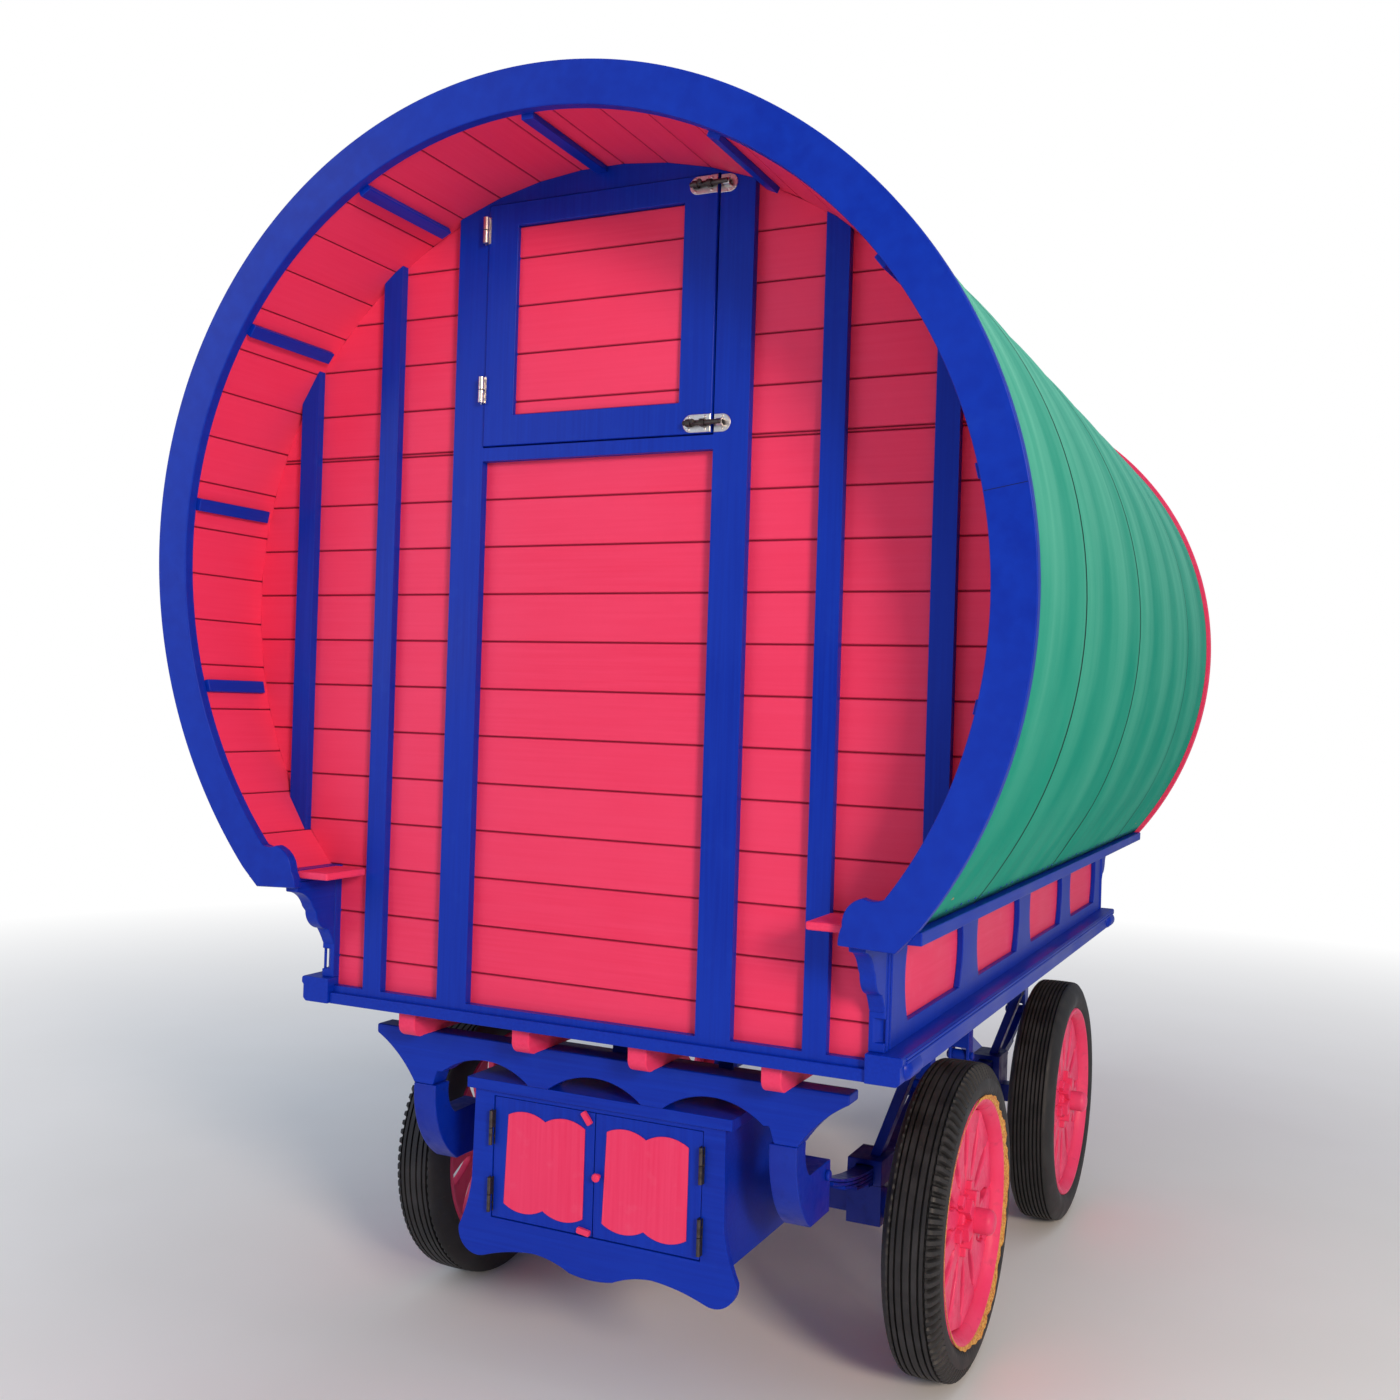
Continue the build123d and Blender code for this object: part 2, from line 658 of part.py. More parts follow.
# Rear shutter, hinged at the left
shutter_z0 = WINDOW_Z0 + LEAF_GAP
shutter_z1 = HEADER_Z0 - LEAF_GAP
shutter_y0 = -BODY_HALF_Y - LEAF_PROUD
shutter_y1 = shutter_y0 + SHUTTER_T
shutter = leaf_frame(
    -leaf_half, leaf_half, shutter_z0, shutter_z1, shutter_y0, shutter_y1, SHUTTER_STILE, SHUTTER_LOW_RAIL,
    SHUTTER_TOP_RAIL,
)
save("shutter_frame", shutter)
shutter_panel = block(
    -leaf_half + SHUTTER_STILE,
    leaf_half - SHUTTER_STILE,
    shutter_y0 + PANEL_SET,
    shutter_y1 - PANEL_BACK,
    shutter_z0 + SHUTTER_LOW_RAIL,
    shutter_z1 - SHUTTER_TOP_RAIL,
)
save("shutter_panel", shutter_panel)

BOLT_IN = 22.0
BOLT_CROSS = 40.0
BOLT_BACK = 70.0
BOLT_EDGE = 4.0
BOLT_PLATE_T = 3.0
BOLT_PLATE_HALF = 20.0
BOLT_R = 6.0
BOLT_SIDES = 8
BOLT_OUT = 10.0
BOLT_END = 6.0
LOOP_BACKS = (56.0, 18.0)
LOOP_HALF = 5.0
LOOP_TALL = 12.0
LOOP_FOOT = 1.0
KEEP_HALF = 13.0
KEEP_IN = 6.0
HINGE_OVER_BOLT = 80.0
HINGE_UNDER_BOLT = 6.0


class ShutterHinge(NamedTuple):
    z: float
    turns_leaf: bool


def shutter_bolt(z):
    """A bolt on the shutter's outer stile: plate, rod and two loops."""
    bolt = block(
        leaf_half - BOLT_BACK, leaf_half - BOLT_EDGE, shutter_y0 - BOLT_PLATE_T, shutter_y0,
        z - BOLT_PLATE_HALF, z + BOLT_PLATE_HALF,
    )
    bolt = bolt + flatted_x(
        BOLT_SIDES, BOLT_R, leaf_half - BOLT_BACK + BOLT_END, STILE_IN_X + BOLT_CROSS - BOLT_EDGE,
        shutter_y0 - BOLT_OUT, z,
    )
    for back in LOOP_BACKS:
        x = leaf_half - back
        loop_y = shutter_y0 - LOOP_TALL
        loop = block(x - LOOP_HALF, x + LOOP_HALF, loop_y, shutter_y0 - LOOP_FOOT, z - LOOP_TALL, z + LOOP_TALL)
        bolt = bolt + loop
    return bolt


shutter_iron = []
for row in (
    ShutterHinge(shutter_z0 + BOLT_IN + HINGE_HALF + HINGE_OVER_BOLT, True),
    ShutterHinge(shutter_z1 - BOLT_IN - HINGE_HALF - HINGE_UNDER_BOLT, False),
):
    fixed, moving = hinge(-STILE_IN_X, row.z, -BODY_HALF_Y, shutter_y0, -1, 1, row.turns_leaf)
    hinge_plates.append(fixed)
    shutter_iron.append(moving)
for z in (shutter_z0 + BOLT_IN, shutter_z1 - BOLT_IN):
    shutter_iron.append(shutter_bolt(z))
    keep_y = -BODY_HALF_Y - BOLT_PLATE_T
    keep_x = STILE_IN_X + KEEP_IN
    keep = block(keep_x, STILE_IN_X + BOLT_CROSS, keep_y, -BODY_HALF_Y, z - KEEP_HALF, z + KEEP_HALF)
    hinge_plates.append(keep)
save("shutter_ironwork", shutter_iron)

# Front half doors, hinged at the left
door_y1 = BODY_HALF_Y + LEAF_PROUD
door_y0 = door_y1 - DOOR_T


class Leaf(NamedTuple):
    name: str
    z0: float
    z1: float


HINGE_FROM_EDGE = 110.0
for leaf in (
    Leaf("front_door_lower", DOOR_Z0 + LEAF_GAP, DOOR_SPLIT_Z - DOOR_SPLIT_GAP / 2),
    Leaf("front_door_upper", DOOR_SPLIT_Z + DOOR_SPLIT_GAP / 2, HEADER_Z0 - LEAF_GAP),
):
    door = leaf_frame(
        -leaf_half, leaf_half, leaf.z0, leaf.z1, door_y0, door_y1, DOOR_STILE, DOOR_RAIL, DOOR_RAIL
    )
    door = door + block(
        -leaf_half + DOOR_STILE,
        leaf_half - DOOR_STILE,
        door_y0 + PANEL_BACK,
        door_y1 - PANEL_SET,
        leaf.z0 + DOOR_RAIL,
        leaf.z1 - DOOR_RAIL,
    )
    for z in (leaf.z0 + HINGE_FROM_EDGE, leaf.z1 - HINGE_FROM_EDGE):
        fixed, moving = hinge(-STILE_IN_X, z, BODY_HALF_Y, door_y1, 1, 1, z < (leaf.z0 + leaf.z1) / 2)
        hinge_plates.append(fixed)
        door = door + moving
    save(leaf.name, door)

# Barrel roof
roof_reach = ARCH_TOP_Y
save("roof_lining", roof_shell(LINING_R, HOOP_R, -roof_reach, roof_reach) & BETWEEN_ARCHES)

HOOPS = 3
HOOP_W = 44.0
HOOP_END = 30.0
hoop_span = 2 * (BODY_HALF_Y - HOOP_END)
hoops = []
for i in range(HOOPS):
    y = -hoop_span / 2 + i * hoop_span / (HOOPS - 1)
    hoops.append(roof_shell(HOOP_R, COVER_R, y - HOOP_W / 2, y + HOOP_W / 2))
save("roof_hoops", hoops)
save("cover", roof_shell(COVER_R, COVER_R + COVER_T, -roof_reach, roof_reach) & BETWEEN_ARCHES)

# Battens on every fourth flat of the porch lining
BATTEN_W = 30.0
BATTEN_T = 14.0
BATTEN_STEP = 4
BATTENS_EACH_SIDE = 4
battens = []
porch_end = rake_y(ROOF_TOP_Z)
for k in range(-BATTENS_EACH_SIDE, BATTENS_EACH_SIDE + 1):
    angle = k * BATTEN_STEP * BOARD_ANGLE
    bar = Pos(0, (BODY_HALF_Y + porch_end) / 2, LINING_R - BATTEN_T / 2)
    bar = bar * Box(BATTEN_W, porch_end - BODY_HALF_Y - 2 * FIT, BATTEN_T)
    bar = Pos(0, 0, BARREL_Z) * Rot(0, angle, 0) * bar
    battens.append(bar & BETWEEN_ARCHES)
save("porch_battens", both_ends(battens))


# Porch arches
# Corners and bulges of a foot's inner curve: distance in from the ring, height over the foot's low face
FOOT_TOE = (96.0, 5.0)
FOOT_THROAT = (94.0, 26.0)
FOOT_INSTEP = (87.0, 45.0)
FOOT_CHEEK = (74.0, 85.0)
FOOT_BROW = (43.0, 104.0)
FOOT_CREST = (16.0, 100.0)


def half_ring(radius, foot_z):
    """Corners of the right half of a ring in flats, from the top down to foot_z."""
    corners = []
    for i in range(ROOF_BOARDS // 2 + 1, ROOF_BOARDS + 1):
        x, z = roof_point(radius, i)
        if z <= foot_z:
            last_x, last_z = corners[-1]
            share = (last_z - foot_z) / (last_z - z)
            corners.append((last_x + (x - last_x) * share, foot_z))
            break
        corners.append((x, z))
    return corners


def arch():
    """The arch at the front: a ring in flats with a shaped foot at each side, between two raked planes."""
    outer = half_ring(ARCH_R, LEDGE_Z1)
    inner = half_ring(ARCH_IN_R, FOOT_TOP_Z)
    x_in = inner[-1][0]
    heel = (outer[-1][0] - FOOT_DIAGONAL, FOOT_LOW_Z)
    curve = (FOOT_TOE, FOOT_THROAT, FOOT_INSTEP, FOOT_CHEEK, FOOT_BROW, FOOT_CREST)
    toe, throat, instep, cheek, brow, crest = [(x_in - back, FOOT_LOW_Z + up) for back, up in curve]
    foot = [
        (outer[-1], heel),
        (heel, toe),
        (toe, throat, instep),
        (instep, cheek, brow),
        (brow, crest, inner[-1]),
    ]
    right = [*lines(outer), *foot, *lines(inner[::-1])]
    left = mirrored(right)
    spans = [*right, (right[-1][-1], left[0][0]), *left, (left[-1][-1], right[0][0])]
    slab = plate_yz(
        [
            (rake_y(SILL_Z0) - ARCH_T, SILL_Z0),
            (rake_y(SILL_Z0), SILL_Z0),
            (rake_y(ROOF_TOP_Z), ROOF_TOP_Z),
            (rake_y(ROOF_TOP_Z) - ARCH_T, ROOF_TOP_Z),
        ],
        -ARCH_REACH,
        ARCH_REACH,
    )
    return curved_xz(spans, BODY_HALF_Y, rake_y(ROOF_TOP_Z) + ARCH_T) & slab


front_arch = arch()
save("front_arch", front_arch)
save("rear_arch", mirror(front_arch, about=Plane.XZ))


# Rear bolster: scalloped under, with a swept corbel at each end
BOLSTER_END_H = 22.0
CORBEL_DROP = 36.0
CORBEL_SLOPE = 12.0
CORBEL_HOLLOW = 8.0
CORBEL_Z = BOLSTER_LOW_Z - CORBEL_DROP


def bolster():
    """The rear cross timber over the springs."""
    top = BEARER_Z0
    low = BOLSTER_LOW_Z
    outer = BOLSTER_HALF
    knee_x = SPRING_X + LEAF_W / 2 + CHEEK_T
    heel_x = SPRING_X - LEAF_W / 2
    hollow = ((outer + knee_x) / 2 - CORBEL_HOLLOW, (top + CORBEL_Z) / 2 - CORBEL_HOLLOW / 2)
    scallop_ends = (SCALLOP_X + SCALLOP_HALF, SCALLOP_X - SCALLOP_HALF)
    right = [
        ((outer, top), (outer, top - BOLSTER_END_H)),
        ((outer, top - BOLSTER_END_H), hollow, (knee_x, CORBEL_Z)),
        ((knee_x, CORBEL_Z), (heel_x, CORBEL_Z)),
        ((heel_x, CORBEL_Z), (heel_x - CORBEL_SLOPE, low)),
        ((heel_x - CORBEL_SLOPE, low), (scallop_ends[0], low)),
        ((scallop_ends[0], low), (SCALLOP_X, low + SCALLOP_RISE), (scallop_ends[1], low)),
        ((scallop_ends[1], low), (SCALLOP_HALF, low)),
    ]
    middle = ((SCALLOP_HALF, low), (0, low + SCALLOP_RISE), (-SCALLOP_HALF, low))
    spans = [((-outer, top), (outer, top)), *right, middle, *mirrored(right)]
    return curved_xz(spans, BOLSTER_Y0, BOLSTER_Y1)


save("rear_bolster", bolster())


# Springs
LEAF_STEPS = 2
EYE_SIDES = 12


def spring(x, y_mid, half):
    """A stack of bent leaves in short flats, each leaf shorter than the one over it, with rolled eyes."""
    rise = EYE_Z - SPRING_LOW_Z
    radius = (half * half + rise * rise) / (2 * rise)
    centre_z = SPRING_LOW_Z + radius
    step = asin(half / radius) / (LEAVES * LEAF_STEPS)

    def corner(leaf, steps):
        r = radius + leaf * LEAF_T
        return (y_mid + r * sin(steps * step), centre_z - r * cos(steps * step))

    longest = LEAVES * LEAF_STEPS
    outline = [corner(0, i) for i in range(-longest, longest + 1)]
    for leaf in range(1, LEAVES):
        reach = (LEAVES - leaf) * LEAF_STEPS
        outline += [corner(leaf, i) for i in range(reach + LEAF_STEPS, reach - 1, -1)]
    lowest = [corner(LEAVES, i) for i in range(LEAF_STEPS, -LEAF_STEPS - 1, -1)]
    outline += lowest
    for leaf in reversed(range(1, LEAVES)):
        reach = (LEAVES - leaf) * LEAF_STEPS
        outline += [corner(leaf, -i) for i in range(reach, reach + LEAF_STEPS + 1)]
    stack = plate_yz(outline, x - LEAF_W / 2, x + LEAF_W / 2)
    for s in (-1, 1):
        stack = stack + flatted_x(EYE_SIDES, EYE_R, x - LEAF_W / 2, x + LEAF_W / 2, y_mid + s * half, EYE_Z)
    return stack


# Axles
BEAM_TOP_Z = WHEEL_R + BEAM_SIDE / 2
STACK_LOW_Z = SPRING_LOW_Z - LEAVES * LEAF_T
CAP_TOP_Z = SPRING_LOW_Z + CLAMP_OVER + CLAMP_TOP_T


def axle(y):
    """Beam, arms, and a tall clamp under each spring."""
    half = BEAM_SIDE / 2
    beam = block(-BEAM_HALF_X, BEAM_HALF_X, y - half, y + half, WHEEL_R - half, BEAM_TOP_Z)
    for s in (-1, 1):
        beam = beam + rod_x(ARM_R, s * (BEAM_HALF_X - ARM_SUNK), s * (WHEEL_X + ARM_OUT), y, WHEEL_R)
        x0 = s * SPRING_X - CLAMP_W / 2
        beam = beam + block(
            x0, x0 + CLAMP_W, y - CLAMP_HALF_Y, y + CLAMP_HALF_Y, WHEEL_R - half - CLAMP_TOP_T, STACK_LOW_Z
        )
    return beam


def clamp_caps(y):
    """The cap over each spring, with legs down to the clamp under it."""
    caps = []
    for s in (-1, 1):
        x0 = s * SPRING_X - CLAMP_W / 2
        top = CAP_TOP_Z - CLAMP_TOP_T
        cap = block(x0, x0 + CLAMP_W, y - CLAMP_HALF_Y, y + CLAMP_HALF_Y, STACK_LOW_Z, CAP_TOP_Z)
        slot_half = LEAF_W / 2 + FIT
        slot = block(
            s * SPRING_X - slot_half,
            s * SPRING_X + slot_half,
            y - CLAMP_HALF_Y - CUT_OVER,
            y + CLAMP_HALF_Y + CUT_OVER,
            STACK_LOW_Z - CUT_OVER,
            top,
        )
        caps.append(cap - slot)
    return caps


save("rear_axle", [axle(REAR_AXLE_Y), *clamp_caps(REAR_AXLE_Y)])
save("rear_springs", [spring(s * SPRING_X, REAR_AXLE_Y, REAR_SPRING_HALF) for s in (-1, 1)])
save("front_axle", [axle(FRONT_AXLE_Y), *clamp_caps(FRONT_AXLE_Y)])
save("front_springs", [spring(s * SPRING_X, FRONT_AXLE_Y, FRONT_SPRING_HALF) for s in (-1, 1)])

# Spring hangers and struts
HANGER_HALF_Y = 26.0
STRUT_W = 26.0
STRUT_D = 46.0
STRUT_LEAN = 0.36
STRUT_PAST = 40.0
SLOT_OVER_EYE = 10.0
HORN_LOW = 92.0
HORN_NECK = 30.0
HORN_BELLY = 104.0
HORN_FRONT = 22.0
HORN_BEND = (0.15, 0.4)


def hanger(x, y, top):
    """Two cheeks either side of a spring eye, joined above it."""
    outer = LEAF_W / 2 + CHEEK_T
    shape = block(x - outer, x + outer, y - HANGER_HALF_Y, y + HANGER_HALF_Y, EYE_Z - HANGER_HALF_Y, top)
    past = 2 * HANGER_HALF_Y
    slot_top = EYE_Z + EYE_R + SLOT_OVER_EYE
    slot = block(x - LEAF_W / 2, x + LEAF_W / 2, y - past, y + past, EYE_Z - past, slot_top)
    return shape - slot


def horn(x):
    """The curved iron from the bolster's end down to the rear spring eye."""
    eye_y = REAR_AXLE_Y - REAR_SPRING_HALF
    outer = LEAF_W / 2 + CHEEK_T
    low = EYE_Z - HORN_LOW
    back_y = eye_y + HANGER_HALF_Y
    neck_z = EYE_Z + HORN_NECK
    spans = [
        ((BOLSTER_Y0, CORBEL_Z), (BOLSTER_Y1, CORBEL_Z)),
        (
            (BOLSTER_Y1, CORBEL_Z),
            (BOLSTER_Y1 + HORN_NECK * HORN_BEND[0], (CORBEL_Z + neck_z) / 2 - HORN_NECK * HORN_BEND[1]),
            (BOLSTER_Y1 + HORN_NECK, neck_z),
        ),
        ((BOLSTER_Y1 + HORN_NECK, neck_z), (back_y, neck_z)),
        ((back_y, neck_z), (back_y, low)),
        ((back_y, low), (BOLSTER_Y0 + HORN_BELLY, low)),
        ((BOLSTER_Y0 + HORN_BELLY, low), (BOLSTER_Y0 + HORN_FRONT, EYE_Z), (BOLSTER_Y0, CORBEL_Z)),
    ]
    shape = curved_yz(spans, x - outer, x + outer)
    slot = block(
        x - LEAF_W / 2, x + LEAF_W / 2, eye_y - EYE_R - SLOT_OVER_EYE, back_y + CUT_OVER, low - CUT_OVER,
        EYE_Z + EYE_R + SLOT_OVER_EYE / 2,
    )
    return shape - slot


def strut(s, y, top):
    """An inclined bar from the cap over a spring out to the underside at height top."""
    z0 = CAP_TOP_Z - STRUT_PAST
    z1 = top + STRUT_PAST
    head_x = s * (SPRING_X + STRUT_LEAN * (z1 - z0))
    bar = bar_between((s * SPRING_X, y, z0), (head_x, y, z1), STRUT_W, STRUT_D)
    return bar & block(-ARCH_REACH, ARCH_REACH, y - STRUT_D, y + STRUT_D, CAP_TOP_Z, top)


rear_irons = []
for s in (-1, 1):
    rear_irons.append(horn(s * SPRING_X))
    rear_irons.append(hanger(s * SPRING_X, REAR_AXLE_Y + REAR_SPRING_HALF, BEARER_Z0))
    rear_irons.append(strut(s, REAR_AXLE_Y, END_Z0))
save("rear_irons", rear_irons)

front_irons = []
for s in (-1, 1):
    for e in (-1, 1):
        front_irons.append(hanger(s * SPRING_X, FRONT_AXLE_Y + e * FRONT_SPRING_HALF, RAIL_Z0))
    front_irons.append(strut(s, FRONT_AXLE_Y, TURN_Z - TURN_GAP - RING_T - CROSS_H))
save("front_irons", front_irons)


# Pan box under the rear
PAN_WAIST = 4.0
PAN_HIP = 8.0
PAN_HIP_RISE = 110.0
PAN_FOOT_DROP = 72.0
PAN_HIP_Z = PAN_FLOOR_Z + PAN_HIP_RISE
PAN_FOOT_Z = PAN_FLOOR_Z - PAN_FOOT_DROP
PAN_STAY_X = 155.0
PAN_STAY_W = 40.0
PAN_STAY_T = 8.0
PAN_STAY_IN = 22.0
PAN_CORNICE_PROUD = 8.0
PAN_TOP_Z = BOLSTER_LOW_Z - PAN_CORNICE_H
# Corners and bulges of the foot's edge: distance in from the side, and height over the lowest point
PAN_FOOT_CURVES = (
    ((-42.0, 62.0), (-18.0, 8.0), (36.0, 2.0)),
    ((36.0, 2.0), (98.0, 20.0), (172.0, 30.0)),
    ((172.0, 30.0), (226.0, 22.0), (274.0, 4.0)),
)


def pan_front_outline():
    """The shaped front board: waisted sides, a lobe at each lower corner and a swell in the middle."""
    hip = (PAN_HALF + PAN_HIP, PAN_HIP_Z)
    curves = [tuple((PAN_HALF - back, PAN_FOOT_Z + up) for back, up in span) for span in PAN_FOOT_CURVES]
    ear = curves[0][0]
    bend = ((PAN_HALF + ear[0]) / 2, (PAN_HIP_Z + ear[1]) / 2 - PAN_WAIST)
    right = [((PAN_HALF + PAN_WAIST, PAN_TOP_Z), hip), (hip, bend, ear), *curves]
    end = curves[-1][-1]
    swell = (end, (0, PAN_FOOT_Z - PAN_WAIST / 2), (-end[0], end[1]))
    over = ((-PAN_HALF - PAN_WAIST, PAN_TOP_Z), (PAN_HALF + PAN_WAIST, PAN_TOP_Z))
    return [over, *right, swell, *mirrored(right)]


def pan_box():
    """Carcass, cornice and shaped front, hung from the bolster and by two stays at the back."""
    front_y1 = PAN_Y0 + PAN_FRONT_T
    carcass = block(-PAN_HALF, PAN_HALF, front_y1, PAN_Y1, PAN_FLOOR_Z, PAN_TOP_Z)
    carcass = carcass - block(
        -PAN_HALF + PAN_T, PAN_HALF - PAN_T, front_y1 - CUT_OVER, PAN_Y1 - PAN_T, PAN_FLOOR_Z + PAN_T,
        PAN_TOP_Z - PAN_T,
    )
    cornice = block(
        -PAN_CORNICE_HALF, PAN_CORNICE_HALF, PAN_Y0 - PAN_CORNICE_PROUD, PAN_Y1, PAN_TOP_Z, BOLSTER_LOW_Z
    )
    front = curved_xz(pan_front_outline(), PAN_Y0, front_y1)
    front = front - block(
        -PAN_DOOR_X, PAN_DOOR_X, PAN_Y0 - CUT_OVER, front_y1 + CUT_OVER, PAN_DOOR_Z0, PAN_DOOR_Z1
    )
    stay_y = PAN_Y1 - PAN_STAY_IN
    stay = block(
        PAN_STAY_X - PAN_STAY_W / 2, PAN_STAY_X + PAN_STAY_W / 2, stay_y - PAN_STAY_T, stay_y,
        BOLSTER_LOW_Z - CUT_OVER, BEARER_Z0,
    )
    return fused([carcass, cornice, front, *both_sides(stay)])


save("pan_box", pan_box())

LOBE_RISE = 14.0


def lobed_panel(x0, x1, z0, z1, y0, y1):
    """A flat panel whose top and bottom edges are each two shallow lobes."""
    mid = (x0 + x1) / 2
    low = z0 + LOBE_RISE
    high = z1 - LOBE_RISE
    spans = [
        ((x0, low), ((x0 + mid) / 2, z0), (mid, low)),
        ((mid, low), ((mid + x1) / 2, z0), (x1, low)),
        ((x1, low), (x1, high)),
        ((x1, high), ((mid + x1) / 2, z1), (mid, high)),
        ((mid, high), ((x0 + mid) / 2, z1), (x0, high)),
        ((x0, high), (x0, low)),
    ]
    return curved_xz(spans, y0, y1)


class PanLeaf(NamedTuple):
    side: str
    sign: int


PAN_STILE = 38.0
PAN_RAIL = 8.0
PAN_PANEL_T = 3.0
PAN_PANEL_SIDE = 6.0
PAN_HINGE_FROM_LOW = 58.0
PAN_HINGE_FROM_TOP = 76.0
BUTTON_LEN = 36.0
BUTTON_H = 14.0
BUTTON_T = 10.0
BUTTON_FROM_EDGE = 11.0
KNOB_R = 10.0
KNOB_OUT = 20.0
KNOB_SIDES = 12
leaf_y0 = PAN_Y0 + PAN_GAP
pan_edge = PAN_DOOR_X - PAN_GAP
for leaf in (PanLeaf("left", -1), PanLeaf("right", 1)):
    s = leaf.sign
    leaf_z0 = PAN_DOOR_Z0 + PAN_GAP
    leaf_z1 = PAN_DOOR_Z1 - PAN_GAP
    door = block(s * PAN_GAP / 2, s * pan_edge, leaf_y0, leaf_y0 + PAN_LEAF_T, leaf_z0, leaf_z1)
    x0, x1 = sorted((s * PAN_STILE, s * (pan_edge - PAN_STILE + PAN_PANEL_SIDE)))
    door = door + lobed_panel(
        x0, x1, PAN_DOOR_Z0 + PAN_RAIL, PAN_DOOR_Z1 - PAN_RAIL, leaf_y0 - PAN_PANEL_T, leaf_y0
    )
    guide_z = PAN_DOOR_Z0 + PAN_HINGE_FROM_LOW
    for z in (guide_z, PAN_DOOR_Z1 - PAN_HINGE_FROM_TOP):
        fixed, moving = hinge(s * PAN_DOOR_X, z, PAN_Y0, leaf_y0, -1, -s, z == guide_z)
        door = door + moving
        hinge_plates.append(fixed)
    solids = [door]
    if s > 0:
        knob_z = (PAN_DOOR_Z0 + PAN_DOOR_Z1) / 2
        solids.append(flatted_y(KNOB_SIDES, KNOB_R, PAN_STILE / 2, leaf_y0 - KNOB_OUT, leaf_y0, knob_z))
    else:
        for z in (PAN_DOOR_Z0 + BUTTON_FROM_EDGE, PAN_DOOR_Z1 - BUTTON_FROM_EDGE):
            z0 = z - BUTTON_H / 2
            solids.append(
                block(-BUTTON_LEN - PAN_GAP, -PAN_GAP, leaf_y0 - BUTTON_T, leaf_y0, z0, z0 + BUTTON_H)
            )
    save(f"pan_door_{leaf.side}", solids)
save("hinge_plates", hinge_plates)


# Turntable and fore-carriage
def ring(z0, z1):
    """One flat ring of the turntable."""
    outer = flatted_z(RING_SIDES, RING_R, 0, FRONT_AXLE_Y, z0, z1)
    return outer - flatted_z(RING_SIDES, RING_R - RING_W, 0, FRONT_AXLE_Y, z0 - CUT_OVER, z1 + CUT_OVER)


def cross_bars(half_x, z0, z1):
    """Three cross bars over the front axle."""
    bars = []
    for step in (-1, 0, 1):
        y = FRONT_AXLE_Y + step * CROSS_PITCH
        reach = half_x if step == 0 else SPRING_X + RAIL_W / 2
        bars.append(block(-reach, reach, y - CROSS_W / 2, y + CROSS_W / 2, z0, z1))
    return bars


def upper_turntable():
    """The fixed ring and its bars under the floor bearers."""
    shape = fused([ring(TURN_Z, TURN_Z + RING_T), *cross_bars(UPPER_HALF_X, TURN_Z + RING_T, BEARER_Z0)])
    bore_top = BEARER_Z0 - KING_BORE_FROM_TOP
    return shape - rod_z(KING_R + PIN_FIT, 0, FRONT_AXLE_Y, TURN_Z - CUT_OVER, bore_top)


def fore_carriage():
    """The turning ring, its cross bars, two rails, the kingpin and the drawbar's beam and lugs."""
    top = TURN_Z - TURN_GAP
    beam_z = top - RING_T
    shape = fused([ring(beam_z, top), *cross_bars(CROSS_HALF_X, beam_z - CROSS_H, beam_z)])
    for s in (-1, 1):
        shape = shape + block(
            s * SPRING_X - RAIL_W / 2,
            s * SPRING_X + RAIL_W / 2,
            FRONT_AXLE_Y - RAIL_HALF_Y,
            FRONT_AXLE_Y + RAIL_HALF_Y,
            RAIL_Z0,
            RAIL_Z0 + RAIL_H,
        )
    shape = shape + rod_z(KING_R, 0, FRONT_AXLE_Y, beam_z - CROSS_H, BEARER_Z0 - KING_FROM_TOP)
    beam_y0 = DRAW_BEAM_Y1 - DRAW_BEAM_W
    beam_low = DRAW_PIN_Z - BEAM_UNDER_PIN
    rail_in = SPRING_X - RAIL_W / 2
    hanger_in = SPRING_X - LEAF_W / 2 - CHEEK_T - BEAM_CLEAR
    shape = shape + block(-rail_in, rail_in, beam_y0, DRAW_BEAM_Y1, RAIL_Z0, RAIL_Z0 + RAIL_H)
    shape = shape + block(-hanger_in, hanger_in, beam_y0, DRAW_BEAM_Y1, beam_low, RAIL_Z0)
    for s in (-1, 1):
        lug = block(
            s * LUG_X, s * (LUG_X + LUG_T), DRAW_BEAM_Y1 - CUT_OVER, DRAW_PIN_Y + LUG_ROUND, beam_low,
            DRAW_PIN_Z + LUG_ROUND,
        )
        shape = shape + lug
    pin_half = LUG_X + LUG_T + LUG_PIN_END
    return shape + rod_x(DRAW_PIN_R, -pin_half, pin_half, DRAW_PIN_Y, DRAW_PIN_Z)


save("turntable_upper", upper_turntable())
save("fore_carriage", fore_carriage())


def drawbar():
    """A square pole with a cross tube on the pin and an eye at the end, resting near the ground."""
    side = BAR_W / 2
    tube_half = LUG_X - LUG_CLEAR
    pole = block(-side, side, 0, BAR_LEN - EYE_OUT_R + EYE_LAP, -side, side)
    pole = pole + flatted_x(TUBE_SIDES, side + TUBE_WALL, -tube_half, tube_half, 0, 0)
    pole = pole - rod_x(DRAW_PIN_R + PIN_FIT, -LUG_X, LUG_X, 0, 0)
    pole = pole - rod_z(EYE_OUT_R - EYE_NECK, 0, BAR_LEN, -side - CUT_OVER, side + CUT_OVER)
    pole = pole + rod_z(EYE_OUT_R, 0, BAR_LEN, -EYE_T / 2, EYE_T / 2)
    pole = pole - rod_z(EYE_IN_R, 0, BAR_LEN, -EYE_T, EYE_T)
    return Pos(0, DRAW_PIN_Y, DRAW_PIN_Z) * Rot(-degrees(BAR_DROP), 0, 0) * pole


save("drawbar", drawbar())


# Wheels
class Wheel(NamedTuple):
    name: str
    side: int
    y: float


WHEELS = (
    Wheel("rear_left", -1, REAR_AXLE_Y),
    Wheel("rear_right", 1, REAR_AXLE_Y),
    Wheel("front_left", -1, FRONT_AXLE_Y),
    Wheel("front_right", 1, FRONT_AXLE_Y),
)


